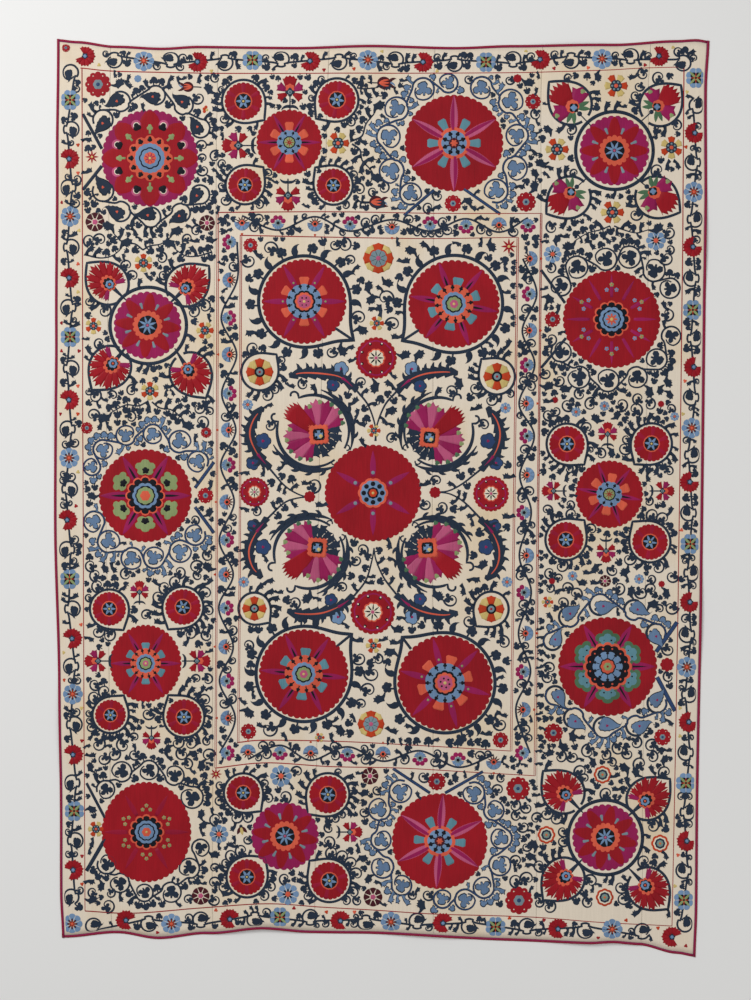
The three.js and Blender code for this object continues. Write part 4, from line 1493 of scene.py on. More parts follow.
def palmette(work, ex, ey, turn):
    """A palmette: a long red toothed petal along turn, pink and magenta petals with green tips fanned
    on both sides, toothed navy sepals and a square eye."""
    for side in (-1, 1):
        for lean, size in ((128, 16), (152, 17), (174, 14)):
            claw(work, *toward(ex, ey, turn + lean * side, 7), turn + lean * side, size, "navy", side)
        for lean, reach, thread in ((106, 30, "magenta"), (86, 34, "pink"), (65, 36, "magenta"), (44, 36, "pink"),
                                    (24, 33, "magenta")):
            petal(work, ex, ey, turn + lean * side, 4, reach, 1.8, reach * 0.165, thread, 0.45, 2, 0.12)
            tip = toward(ex, ey, turn + (lean + 7) * side, reach - 3.6)
            work.disc(*tip, 2.9, "sage" if lean < 60 else "green", 0.55, lobes=3, depth=0.3)
    petal(work, ex, ey, turn, 4, 43, 4, 10.5, "red", 0.58, 6, 0.12)
    corner = turn % 90
    for half, thread, teeth in ((10.4, "coral", 5), (7.2, "ink", 4), (5.0, "sky", 2)):
        for angle in (0, 90, 180, 270):
            petal(work, ex, ey, corner + 45 + angle, 0, half, half * 0.2, half, thread, 0.80 - half * 0.01, teeth, 0.14,
                  bow=0.10)
    for angle in (90, 180, 270):
        work.disc(*toward(ex, ey, corner + angle, 3.6), 1.5, "ink", 0.86)
    work.disc(*toward(ex, ey, corner, 2.5), 2.4, "ochre", 0.90, lobes=4, depth=0.2)


def palmette_scroll(work, x, y, radius, turn):
    """The vine round a palmette: two arms that leave the middle of the field, swell, and curl in
    beside the red petal's tip, and a thick hooked band outside each."""
    arms = []
    for side in (-1, 1):
        bow = arc(x, y, radius, turn + 168 * side, turn + 26 * side, 34)
        tail = spiral(*toward(x, y, turn + 20 * side, radius + 4.4), 5.2, 2.5, turn + 150 * side, -205 * side)
        px, py = np.concatenate([bow[0], tail[0][2:]]), np.concatenate([bow[1], tail[1][2:]])
        t = np.linspace(0, 1, len(px))
        stem(work, (px, py), 1.2 + 0.9 * np.sin(math.pi * np.clip(t * 1.25, 0, 1)) ** 2)
        t = np.linspace(0, 1, 30)
        angles = turn + (166 - 106 * t) * side
        away = radius + 2.9 + 3.0 * (2 * t - 1) ** 2
        band = x + away * np.cos(np.radians(angles)), y + away * np.sin(np.radians(angles))
        stem(work, band, 0.6 + 3.1 * np.sin(math.pi * t) ** 1.2)
        for k in (5, 10, 15, 20, 25):
            spur(work, band[0][k], band[1][k], angles[k] - 30 * side, 10.5 - abs(k - 15) * 0.2, side=-side, half=0.34)
        arms.append((px[:30], py[:30]))
        knot = spiral(*toward(x, y, turn + 166 * side, radius + 2), 3.4, 2.0, turn + 40 * side, 200 * side)
        stem(work, knot, 0.8)
    return arms


def saz_leaf(work, places, half=7.4, thread="navy", vein="coral", lobes=()):
    """A long feathered leaf: a toothed blade along a curve with hooks on its outer side, a coral vein,
    a magenta foot and round blue lobes beside it."""
    for x, y, radius, colour in lobes:
        work.disc(x, y, radius, "navy", 0.36, lobes=5, depth=0.16)
        work.disc(x, y, radius - 0.7, colour, 0.42, lobes=5, depth=0.16)
        work.disc(x, y, radius * 0.22, "magenta", 0.48, lobes=3, depth=0.3)
    path = curve(*places, each=1.1)
    n = len(path[0])
    t = np.linspace(0, 1, n)
    body = half * np.sin(math.pi * (0.08 + 0.86 * t)) ** 0.6
    tooth = half * 0.4 * ((t * 7.5) % 1)
    work.blade(path, (body * 0.66 + tooth, body * 0.66 + np.roll(tooth, 4)), thread, 0.5)
    middle = (373.0, 493.0)
    for k in range(int(n * 0.14), int(n * 0.86), max(3, n // 9)):
        x, y = path[0][k], path[1][k]
        ahead = math.degrees(math.atan2(path[1][k + 1] - y, path[0][k + 1] - x))
        outward = (x - middle[0]) * -math.sin(math.radians(ahead)) + (y - middle[1]) * math.cos(math.radians(ahead))
        side = 1 if outward > 0 else -1
        spur(work, x, y, ahead + 62 * side, half * 1.55, thread, side=side, height=0.48, half=0.30)
    inner = slice(int(n * 0.12), int(n * 0.78))
    vein_half = half * 0.14 * np.sin(math.pi * np.linspace(0.1, 0.95, inner.stop - inner.start)) ** 0.6
    work.blade((path[0][inner], path[1][inner]), vein_half, vein, 0.58)
    foot = slice(int(n * 0.74), int(n * 0.93))
    work.blade((path[0][foot], path[1][foot]), np.linspace(half * 0.25, 0.15, foot.stop - foot.start), "magenta", 0.6)


PALMETTES = """
x      y      r     ex     ey     turn
313    431    36    318.8  434.5  221
438.7  432    34.5  429.5  437.5  -40
309    553.6  35    317.2  547.6  139
434.6  554    33    427.5  548    41
"""

FEATHERS = """
7.4 289,376 303,373 325,374 342,378 357,391
7.4 263,407 253,421 250,436 257,453 270,469
7.4 458,373 443,372 425,374 410,380 396,392
7.4 487,407 497,421 500,437 494,455 480,470
7.4 262,578 252,566 249,550 256,533 268,518
7.4 287,611 302,614 322,613 340,606 354,596
7.4 458,613 443,615 424,612 409,605 396,594
7.4 486,580 497,566 499,549 492,532 480,518
"""
FEATHER_LOBES = ("341 369 8 sky  333 385 7 blue", "263 441 8.5 blue  253 463 7.5 blue",
                 "412 369 8 sky  420 386 7 blue", "488 441 8.5 blue  496 463 7.5 blue",
                 "263 547 8.5 blue  254 526 7.5 blue", "338 617 8 sky  331 600 7 blue",
                 "412 617 8 sky  420 599 7 blue", "486 547 8.5 blue  494 526 7.5 blue")

CENTRAL_VINES = """
1.2 357,391 368,405 375,425 376,441
1.2 396,392 385,405 377,425 375,441
1.2 270,469 285,486 300,495 310,497
1.2 480,470 462,484 448,491 436,492
1.2 268,518 284,503 298,498 310,497
1.2 480,518 464,502 450,494 436,492
1.2 354,596 366,580 372,560 374,548
1.2 396,594 384,578 376,560 374,548
"""


def fill_bare(work, box, steps=((6.2, 15, "curl curl spray"), (5.0, 12.5, "curl claw"), (3.9, 11, "claw bud"), (3.0, 8.5, "bud")),
              thread="navy"):
    """Fills what is still bare inside a box: from the nearest silk a leaf grows towards each free
    place, tried in a shuffled order, first where there is most room. A step is the clear radius that
    a place needs, the longest leaf and its kinds."""
    x0, y0, x1, y1 = box
    angles = np.radians(np.arange(0, 360, 20))
    for least, most, names in steps:
        kinds = names.split()
        gx, gy = np.meshgrid(np.arange(x0, x1, 2.0), np.arange(y0, y1, 2.0))
        spots = np.stack([gx.ravel(), gy.ravel()], 1)
        spots += work.random.uniform(-0.8, 0.8, spots.shape)
        work.random.shuffle(spots)
        reach = np.arange(least, 14.0, 0.5)
        dx, dy = np.cos(angles)[:, None] * reach, np.sin(angles)[:, None] * reach
        for x, y in spots:
            if not GROUND.free(x, y, least):
                continue
            sx = np.clip(((x + dx) * 2).astype(int), 0, VIEW_SIZE[0] * 2 - 1)
            sy = np.clip(((y + dy) * 2).astype(int), 0, VIEW_SIZE[1] * 2 - 1)
            hit = GROUND.full[sy, sx]
            first = np.where(hit.any(axis=1), hit.argmax(axis=1), len(reach))
            k = int(first.argmin())
            if first[k] >= len(reach):
                continue
            away = reach[first[k]]
            turn = math.degrees(angles[k]) + 180
            foot = toward(x, y, turn + 180, away + 0.8)
            size = min(most, away + least * 0.95)
            kind = kinds[work.random.integers(len(kinds))]
            side = 1 if work.random.random() > 0.5 else -1
            LEAVES[kind](work, *foot, turn, size, thread, side=side)


def thread_colour(name):
    """A thread's colour in linear light, from its property."""
    return tuple(getattr(bpy.context.scene.suzani_threads, name))


# Materials


def node(tree, kind, **settings):
    """Adds a node and sets its values; a key that names an input sets that input."""
    made = tree.nodes.new(kind)
    for key, value in settings.items():
        if key in made.inputs:
            made.inputs[key].default_value = value
        else:
            setattr(made, key, value)
    return made


def group_tree(name, inputs, outputs):
    """An empty node group with named inputs and outputs, or None where it was made already."""
    tree = bpy.data.node_groups.new(name, "ShaderNodeTree")
    for title, kind, value in inputs:
        socket = tree.interface.new_socket(title, in_out="INPUT", socket_type=kind)
        socket.default_value = value
    for title, kind in outputs:
        tree.interface.new_socket(title, in_out="OUTPUT", socket_type=kind)
    return tree, tree.nodes.new("NodeGroupInput"), tree.nodes.new("NodeGroupOutput")


def math_node(tree, operation, a, b=None):
    """A Math node of two sockets or numbers."""
    made = node(tree, "ShaderNodeMath", operation=operation)
    for k, value in enumerate((a, b)):
        if isinstance(value, (int, float)):
            made.inputs[k].default_value = value
        elif value is not None:
            tree.links.new(value, made.inputs[k])
    return made.outputs[0]


def stretched_noise(tree, scale, detail=2.0):
    """Noise on Object coordinates, stretched by a scale for each axis."""
    place_node = node(tree, "ShaderNodeTexCoord")
    mapping = node(tree, "ShaderNodeMapping", Scale=scale)
    noise = node(tree, "ShaderNodeTexNoise", Scale=1.0, Detail=detail)
    tree.links.new(place_node.outputs["Object"], mapping.inputs["Vector"])
    tree.links.new(mapping.outputs["Vector"], noise.inputs["Vector"])
    return noise.outputs["Fac"]


def laid_silk_group():
    """Laid silk: rows of thread that run up the cloth, each a little lighter or darker, with slow
    changes of dye lot, the shapes' own tones, and a darker edge where the outline is sewn."""
    name = "Laid silk"
    if name in bpy.data.node_groups:
        return bpy.data.node_groups[name]
    tree, given, out = group_tree(
        name,
        [("Colour", "NodeSocketColor", (0.5, 0.5, 0.5, 1)), ("Streak", "NodeSocketFloat", 0.3),
         ("Edge", "NodeSocketFloat", 0.0)],
        [("Colour", "NodeSocketColor"), ("Roughness", "NodeSocketFloat"), ("Height", "NodeSocketFloat")])
    streak = stretched_noise(tree, (330.0, 16.0, 40.0), 3.0)
    lot = stretched_noise(tree, (16.0, 9.0, 5.0), 2.0)
    thread = stretched_noise(tree, (1500.0, 60.0, 200.0), 1.0)
    tone = node(tree, "ShaderNodeAttribute", attribute_name="tone")
    inside = node(tree, "ShaderNodeAttribute", attribute_name="inside")
    value = math_node(tree, "MULTIPLY", math_node(tree, "SUBTRACT", streak, 0.5), given.outputs["Streak"])
    value = math_node(tree, "ADD", value, math_node(tree, "MULTIPLY", math_node(tree, "SUBTRACT", lot, 0.5), 0.5))
    value = math_node(tree, "ADD", value, math_node(tree, "MULTIPLY", tone.outputs["Fac"], 0.07))
    value = math_node(tree, "ADD", value, 1.0)
    rim = math_node(tree, "SUBTRACT", 1.0, inside.outputs["Fac"])
    shade = math_node(tree, "SUBTRACT", 1.0, math_node(tree, "MULTIPLY", rim, given.outputs["Edge"]))
    value = math_node(tree, "MULTIPLY", value, shade)
    tint = node(tree, "ShaderNodeVectorMath", operation="SCALE")
    tree.links.new(given.outputs["Colour"], tint.inputs[0])
    tree.links.new(value, tint.inputs["Scale"])
    tree.links.new(tint.outputs[0], out.inputs["Colour"])
    rough = math_node(tree, "ADD", math_node(tree, "MULTIPLY", streak, 0.25), 0.42)
    tree.links.new(rough, out.inputs["Roughness"])
    tree.links.new(math_node(tree, "ADD", thread, math_node(tree, "MULTIPLY", streak, 0.6)), out.inputs["Height"])
    return tree


def surface_material(name, group, colour, sheen, bump, **values):
    """A material whose group gives colour, roughness and height to a Principled surface."""
    material = bpy.data.materials.new(name)
    material.use_nodes = True
    tree = material.node_tree
    tree.nodes.clear()
    holder = node(tree, "ShaderNodeGroup", node_tree=group)
    holder.inputs["Colour"].default_value = (*colour, 1)
    for key, value in values.items():
        holder.inputs[key].default_value = value
    shader = node(tree, "ShaderNodeBsdfPrincipled")
    shader.inputs["Sheen Weight"].default_value = sheen
    shader.inputs["Sheen Roughness"].default_value = 0.4
    shader.inputs["Specular IOR Level"].default_value = 0.16
    relief = node(tree, "ShaderNodeBump", Strength=0.5, Distance=bump)
    output = node(tree, "ShaderNodeOutputMaterial")
    tree.links.new(holder.outputs["Colour"], shader.inputs["Base Color"])
    tree.links.new(holder.outputs["Roughness"], shader.inputs["Roughness"])
    tree.links.new(holder.outputs["Height"], relief.inputs["Height"])
    tree.links.new(relief.outputs["Normal"], shader.inputs["Normal"])
    tree.links.new(shader.outputs["BSDF"], output.inputs["Surface"])
    return material


def silk_material(thread):
    """The silk of one thread colour."""
    name = "Silk " + thread
    if name not in bpy.data.materials:
        edge = 0.7 if thread in ("navy", "blue") else 0.0
        surface_material(name, laid_silk_group(), thread_colour(thread), 0.04, 0.0004, Streak=0.42, Edge=edge)
    return bpy.data.materials[name]


def weave_group():
    """Hand-woven cotton: a plain weave of uneven yarns, slubs along the warp, and faint yellowing."""
    name = "Plain weave"
    if name in bpy.data.node_groups:
        return bpy.data.node_groups[name]
    tree, given, out = group_tree(
        name, [("Colour", "NodeSocketColor", (0.8, 0.75, 0.6, 1))],
        [("Colour", "NodeSocketColor"), ("Roughness", "NodeSocketFloat"), ("Height", "NodeSocketFloat")])
    warp = stretched_noise(tree, (1100.0, 30.0, 30.0), 1.0)
    weft = stretched_noise(tree, (30.0, 1100.0, 30.0), 1.0)
    slub = stretched_noise(tree, (260.0, 9.0, 9.0), 3.0)
    stain = stretched_noise(tree, (5.0, 4.0, 4.0), 4.0)
    value = math_node(tree, "ADD", math_node(tree, "MULTIPLY", math_node(tree, "SUBTRACT", slub, 0.5), 0.16), 1.0)
    value = math_node(tree, "ADD", value, math_node(tree, "MULTIPLY", math_node(tree, "SUBTRACT", warp, 0.5), 0.08))
    value = math_node(tree, "ADD", value, math_node(tree, "MULTIPLY", math_node(tree, "SUBTRACT", weft, 0.5), 0.08))
    tint = node(tree, "ShaderNodeVectorMath", operation="SCALE")
    tree.links.new(given.outputs["Colour"], tint.inputs[0])
    tree.links.new(value, tint.inputs["Scale"])
    mix = node(tree, "ShaderNodeMix", data_type="RGBA", blend_type="MULTIPLY")
    mix.inputs[7].default_value = (0.95, 0.86, 0.70, 1)
    span = node(tree, "ShaderNodeMapRange")
    span.inputs["From Min"].default_value = 0.48
    span.inputs["From Max"].default_value = 0.75
    tree.links.new(stain, span.inputs["Value"])
    tree.links.new(span.outputs["Result"], mix.inputs[0])
    tree.links.new(tint.outputs[0], mix.inputs[6])
    tree.links.new(mix.outputs[2], out.inputs["Colour"])
    tree.links.new(math_node(tree, "ADD", math_node(tree, "MULTIPLY", slub, 0.1), 0.82), out.inputs["Roughness"])
    tree.links.new(math_node(tree, "ADD", math_node(tree, "ADD", warp, weft), slub), out.inputs["Height"])
    return tree


def cotton_material():
    """The undyed ground cloth."""
    name = "Undyed cotton"
    if name not in bpy.data.materials:
        colour = tuple(bpy.context.scene.suzani_cloth.ground)
        surface_material(name, weave_group(), colour, 0.05, 0.0003)
    return bpy.data.materials[name]


def plait_group():
    """Woven braid: slanting bands across its width, from the piece's UV map."""
    name = "Braid plait"
    if name in bpy.data.node_groups:
        return bpy.data.node_groups[name]
    tree, given, out = group_tree(
        name, [("Colour", "NodeSocketColor", (0.5, 0.1, 0.2, 1))],
        [("Colour", "NodeSocketColor"), ("Roughness", "NodeSocketFloat"), ("Height", "NodeSocketFloat")])
    uv = node(tree, "ShaderNodeUVMap", uv_map="braid")
    parts = node(tree, "ShaderNodeSeparateXYZ")
    tree.links.new(uv.outputs["UV"], parts.inputs[0])
    along, across = parts.outputs[0], parts.outputs[1]
    fold = math_node(tree, "ABSOLUTE", math_node(tree, "SUBTRACT", across, 0.5))
    slant = math_node(tree, "ADD", math_node(tree, "MULTIPLY", along, 1600.0), math_node(tree, "MULTIPLY", fold, 9.0))
    bands = math_node(tree, "SINE", slant)
    lot = stretched_noise(tree, (12.0, 12.0, 5.0), 2.0)
    inner = math_node(tree, "GREATER_THAN", across, 0.62)
    mix = node(tree, "ShaderNodeMix", data_type="RGBA")
    mix.inputs[7].default_value = (0.22, 0.02, 0.12, 1)
    blend = math_node(tree, "MULTIPLY", inner, math_node(tree, "ADD", math_node(tree, "MULTIPLY", bands, 0.2), lot))
    tree.links.new(blend, mix.inputs[0])
    tree.links.new(given.outputs["Colour"], mix.inputs[6])
    tree.links.new(mix.outputs[2], out.inputs["Colour"])
    tree.links.new(math_node(tree, "ADD", math_node(tree, "MULTIPLY", bands, 0.05), 0.75), out.inputs["Roughness"])
    tree.links.new(bands, out.inputs["Height"])
    return tree


def braid_material():
    """The red and purple edge braid."""
    name = "Red braid"
    if name not in bpy.data.materials:
        colour = tuple(bpy.context.scene.suzani_cloth.braid)
        surface_material(name, plait_group(), colour, 0.05, 0.0004)
    return bpy.data.materials[name]


# The cloth


def shares(widths):
    """Where each strip ends, as shares of the whole width."""
    return np.concatenate([[0], np.cumsum(widths) / sum(widths)])


def closed_sheet(name, x, y, top, under):
    """A sheet between two faces on one grid, closed by a rim: rows run down and columns across."""
    rows, columns = x.shape
    count = rows * columns
    index = np.arange(count).reshape(rows, columns)

    def faces(a):
        return np.stack([a[:-1, :-1], a[1:, :-1], a[1:, 1:], a[:-1, 1:]], axis=-1).reshape(-1, 4)

    loop = np.concatenate([index[0, :-1], index[:-1, -1], index[-1, :0:-1], index[:0:-1, 0]])
    ahead = np.roll(loop, -1)
    rim = np.stack([loop, ahead, ahead + count, loop + count], axis=-1)
    quads = np.concatenate([faces(index), faces(index)[:, ::-1] + count, rim])
    points = np.concatenate([np.stack([x, y, top], -1).reshape(-1, 3), np.stack([x, y, under], -1).reshape(-1, 3)])
    mesh = bpy.data.meshes.new(name)
    mesh.from_pydata(points / 1000, [], quads.tolist())
    mesh.polygons.foreach_set("use_smooth", np.arange(len(quads)) < len(quads) - len(rim))
    return mesh


def strip_piece(k):
    """A loom-width strip: a grid between its two seams and the cloth's ends. Its face dips at the
    seams, where the two selvedges are drawn together."""
    width = CORNERS["top_right"][0] - CORNERS["top_left"][0]
    length = CORNERS["top_left"][1] - CORNERS["bottom_left"][1]
    last = len(STRIP_TOPS) - 1
    ends = []
    for widths in (STRIP_TOPS, STRIP_BOTTOMS):
        s = shares(widths)
        edge = (BRAID_WIDTH + SEAM_GAP) / width
        start = edge if k == 0 else s[k] + SEAM_GAP / 2 / width
        end = 1 - edge if k == last else s[k + 1] - SEAM_GAP / 2 / width
        ends.append((start, end))
    broad = STRIP_TOPS[k]
    inner = np.linspace(0, 1, int(broad / STEP) + 1)
    fold = 3.0 / broad
    across = np.unique(np.concatenate([inner, [fold, 1 - fold]]))
    clear = (BRAID_WIDTH + SEAM_GAP) / length
    down = np.linspace(clear, 1 - clear, int(length / STEP))[:, None]
    start = ends[0][0] * (1 - down) + ends[1][0] * down
    end = ends[0][1] * (1 - down) + ends[1][1] * down
    x, y = place(start + (end - start) * across[None, :], np.broadcast_to(down, (len(down), len(across))))
    near = np.minimum(across, 1 - across) * broad
    dip = 0.45 * np.clip(1 - near / 3.0, 0, 1)
    mesh = closed_sheet(f"cloth_strip_{k + 1}", x, y, cloth_top(x, y) - dip[None, :], lift(x, y) + CLOTH_UNDER)
    mesh.materials.append(cotton_material())
    piece = add_piece(mesh, [f"strip_{k + 1}"])
    return piece


def braid_piece(side):
    """A side of the binding: a low round section carried along the edge of the cloth."""
    width = CORNERS["top_right"][0] - CORNERS["top_left"][0]
    length = CORNERS["top_left"][1] - CORNERS["bottom_left"][1]
    sideways = side in ("left", "right")
    reach = BRAID_WIDTH / (width if sideways else length)
    trim = 0.0 if sideways else (BRAID_WIDTH + SEAM_GAP) / width
    run = np.linspace(trim, 1 - trim, 161)[:, None]
    section = np.linspace(0, 1, 7)[None, :]
    depth = reach * section if side in ("left", "top") else 1 - reach * section
    across, down = (depth, run) if sideways else (run, depth)
    x, y = place(*np.broadcast_arrays(across, down))
    crown = np.sqrt(np.clip(1 - (2 * section - 1) ** 2, 0, 1))
    under = lift(x, y)
    top = under + 0.8 + (BRAID_TOP - 0.8) * crown
    if side in ("right", "top"):
        x, y, top, under = (a[::-1] for a in (x, y, top, under))
    if side in ("top", "bottom"):
        x, y, top, under = (a[::-1] for a in (x, y, top, under))
    mesh = closed_sheet(f"braid_{side}", x, y, top, under)
    mesh.materials.append(braid_material())
    uv = mesh.uv_layers.new(name="braid")
    spot = np.zeros(len(mesh.loops), np.int32)
    mesh.loops.foreach_get("vertex_index", spot)
    metres = np.broadcast_to(run * (length if sideways else width) / 1000, x.shape)
    grid_uv = np.stack([metres, np.broadcast_to(section, x.shape)], -1).reshape(-1, 2)
    uv.data.foreach_set("uv", np.concatenate([grid_uv, grid_uv])[spot].ravel())
    piece = add_piece(mesh, [f"binding_{side}"])
    return piece


# Operators


class ClothSettings(bpy.types.PropertyGroup):
    """The ground cloth and its binding."""

    pucker: FloatProperty(name="Puckering", description="Strength of the stitched cloth's unevenness",
                          default=1.0, min=0.0, max=2.0, subtype="FACTOR")
    ground: FloatVectorProperty(name="Cotton", description="Colour of the undyed cotton",
                                default=(0.735, 0.645, 0.525), min=0.0, max=1.0, subtype="COLOR")
    braid: FloatVectorProperty(name="Braid", description="Colour of the edge braid",
                               default=(0.26, 0.012, 0.035), min=0.0, max=1.0, subtype="COLOR")


def linear(colour):
    """sRGB to linear light."""
    return tuple(c / 12.92 if c < 0.04045 else ((c + 0.055) / 1.055) ** 2.4 for c in colour)


class ThreadSettings(bpy.types.PropertyGroup):
    """The silk threads' colours."""

    __annotations__ = {
        name: FloatVectorProperty(name=name.capitalize(), description=f"Colour of the {name} silk",
                                  default=linear(colour), min=0.0, max=1.0, subtype="COLOR")
        for name, colour in THREADS.items()}


class SUZANI_OT_cloth(bpy.types.Operator):
    """Makes the seven sewn cotton strips"""

    bl_idname = "suzani.cloth"
    bl_label = "Ground cloth"

    def execute(self, context):
        for k in range(len(STRIP_TOPS)):
            strip_piece(k)
        return {"FINISHED"}


class SUZANI_OT_braid(bpy.types.Operator):
    """Makes the braid binding on the four edges"""

    bl_idname = "suzani.braid"
    bl_label = "Edge braid"

    def execute(self, context):
        for side in EDGES:
            braid_piece(side)
        return {"FINISHED"}


class SUZANI_OT_rules(bpy.types.Operator):
    """Sews the red lines of the two borders and the straight stems"""

    bl_idname = "suzani.rules"
    bl_label = "Red lines"

    def execute(self, context):
        work = Needlework(10)
        vines(work, RULES, "red")
        for thread, text in BEAMS.items():
            for line in text.strip().splitlines():
                words = line.split()
                (x0, y0), (x1, y1) = (tuple(map(float, word.split(","))) for word in words[1:])
                path = np.linspace(x0, x1, 12), np.linspace(y0, y1, 12)
                stem(work, path, float(words[0]), "navy", 0.44)
                if thread == "blue":
                    stem(work, path, float(words[0]) - 0.5, thread, 0.5)
        work.make("silk_lines")
        return {"FINISHED"}


class SUZANI_OT_rosettes(bpy.types.Operator):
    """Sews the large rosettes and the round discs"""

    bl_idname = "suzani.rosettes"
    bl_label = "Rosettes"

    def execute(self, context):
        work = Needlework(11)
        for row in ROSETTES:
            rosette(work, row.kind, row.x, row.y, row.radius, row.turn, row.squash)
        work.make("silk_rosettes")
        work = Needlework(12)
        for row in DISCS:
            rosette(work, row.kind, row.x, row.y, row.radius, row.turn)
        sprinkle(work, SINGLES)
        work.make("silk_flowers")
        return {"FINISHED"}


def chunks(text, size):
    """A flat list of words in rows of a size, numbers read as numbers."""
    words = [float(w) if w[-1].isdigit() else w for w in text.split()]
    return [tuple(words[k:k + size]) for k in range(0, len(words), size)]


class SUZANI_OT_outer_border(bpy.types.Operator):
    """Sews the outer border: flowers and a vine that curls round a comma leaf between each two"""

    bl_idname = "suzani.outer_border"
    bl_label = "Outer border"

    def execute(self, context):
        flowers, leaves = Needlework(13), Needlework(14)
        sides = list(BORDER.values())
        rows = [chunks(text, 3) for text, normal, heading in sides]
        for row, (_, normal, heading) in zip(rows, sides):
            for kind, x, y in row:
                if kind == "C":
                    carnation(flowers, x, y, heading, 11)
                else:
                    rosette(flowers, "bstar" if kind == "B" else "bcross", x, y, 10.5)
        vines_made = []
        for k, (_, normal, heading) in enumerate(sides):
            ahead = sides[(k + 1) % 4][1]
            row = rows[k] + rows[(k + 1) % 4][:1]
            side = way = 1 if row[0][0] == "C" else -1
            loops = []
            for n, ((_, x0, y0), (_, x1, y1)) in enumerate(zip(row, row[1:])):
                x, y = (x0 + x1) / 2 - normal[0] * way * 1.6, (y0 + y1) / 2 - normal[1] * way * 1.6
                if n == len(row) - 2:
                    x, y = x + (normal[0] + ahead[0]) * 5.5, y + (normal[1] + ahead[1]) * 5.5
                loops.append((x, y, 7.8))
                way = -way
            vines_made.append(garland(leaves, loops, normal=normal, side=side, leaf="comma", half=1.15))
        for vine in vines_made:
            grow(leaves, vine, "bud curl claw", (10.5, 9.4, 8.4, 7.4, 6.4), 2.0, lean=66, gap=0.3)
        for row, (_, normal, heading) in zip(rows, sides):
            for kind, x, y in row:
                for along, across in ((-14, -9), (14, -9), (-14, 9), (14, 9)):
                    px = x + normal[0] * across + abs(normal[1]) * along
                    py = y + normal[1] * across + abs(normal[0]) * along
                    if GROUND.free(px, py, 1.8):
                        thread = ("rust", "ochre", "coral", "red")[leaves.random.integers(4)]
                        leaves.disc(px, py, 2.2, thread, 0.5, lobes=3, depth=0.4, turn=leaves.random.uniform(0, 120))
        flowers.make("silk_border_flowers")
        leaves.make("silk_border_vine")
        return {"FINISHED"}


class SUZANI_OT_inner_border(bpy.types.Operator):
    """Sews the inner border: half flowers that face by turns in and out, and the vine between them"""

    bl_idname = "suzani.inner_border"
    bl_label = "Inner border"

    def execute(self, context):
        work = Needlework(15)
        paths = []
        for text in MEANDERS:
            points = []
            for kind, x, y, turn in chunks(text, 4):
                fan_flower(work, x, y, turn, kind)
                points.append(toward(x, y, turn + 180, 7.2))
            paths.append(curve(*points))
            stem(work, paths[-1], 1.1)
        for path in paths:
            grow(work, path, "claw curl bud", (11.5, 10.5, 9.4, 8.4, 7.4, 6.4), 3.4, lean=52, gap=0.1)
        for box in ((216, 216, 242, 768), (513, 216, 542, 768), (243, 215, 512, 240), (243, 740, 512, 768)):
            fill_bare(work, box, ((3.8, 10.5, "claw bud"), (2.9, 8, "bud")))
        work.make("silk_inner_border")
        return {"FINISHED"}


class SUZANI_OT_scrolls(bpy.types.Operator):
    """Sews the winding vines round the large rosettes"""

    bl_idname = "suzani.scrolls"
    bl_label = "Scroll panels"

    def execute(self, context):
        work = Needlework(16)
        styles = {"paisley": {"leaf": "paisley", "heart": "coral", "half": 1.15},
                  "navy": {"half": 1.1},
                  "sky": {"fill": "mist", "core": "blue", "half": 1.2},
                  "blue": {"leaf": "paisley", "fill": "mist", "heart": "magenta", "core": "blue", "half": 1.25}}
        made = []
        for middle, style, side, text in GARLANDS:
            vine = garland(work, numbers(text, 3), middle, side=side, **styles[style])
            made.append((vine, styles[style].get("fill")))
        for vine, core in made:
            grow(work, vine, "bud bud claw", spacing=2.4, lean=68, gap=0.4, core=core)
        work.make("silk_scrolls")
        return {"FINISHED"}


class SUZANI_OT_rings(bpy.types.Operator):
    """Sews the leafy rings, collars, drops and medallion rings"""

    bl_idname = "suzani.rings"
    bl_label = "Rings and drops"

    def execute(self, context):
        work = Needlework(17)
        rings = []
        for row in table(RINGED):
            d = math.hypot(row.tx - row.x, row.ty - row.y)
            ux, uy = (row.tx - row.x) / d, (row.ty - row.y) / d
            r = row.r + 2.4
            path = drop_path(row.x, row.y, r, row.x + ux * r * 1.32, row.y + uy * r * 1.32, sharp=0.30)
            stem(work, path, 1.4)
            rings.append(path)
        for row in table(DROPS.replace("tx     ty", "tip_x  tip_y")):
            path, heading = drop_cartouche(work, row)
            stem(work, path, 1.5)
            rings.append(path)
        for row in table(COLLARS):
            path = arc(row.x, row.y, row.r, 0, 360, 90)
            stem(work, path, 1.95)
            rings.append(path)
        for row in table(MEDALLIONS):
            path = drop_path(row.x, row.y, row.r, row.tx, row.ty, sharp=0.2, steps=120)
            stem(work, path, 1.9)
            tip = math.degrees(math.atan2(row.ty - row.y, row.tx - row.x))
            for k in range(20):
                angle = tip + 18 + k * 17.0
                foot = toward(row.x, row.y, angle, row.r)
                if GROUND.free(*toward(*foot, angle, 6.5), 3.2):
                    LEAVES[("crescent", "clover")[k % 2]](work, *foot, angle + 12, 13, side=1)
        vines(work, SPRAYS, "navy", "claw bud", spacing=4.0, tip=16)
        for path in rings:
            grow(work, path, "claw curl claw bud", sides=(-1,), lean=62, gap=0.3)
        work.make("silk_rings")
        return {"FINISHED"}


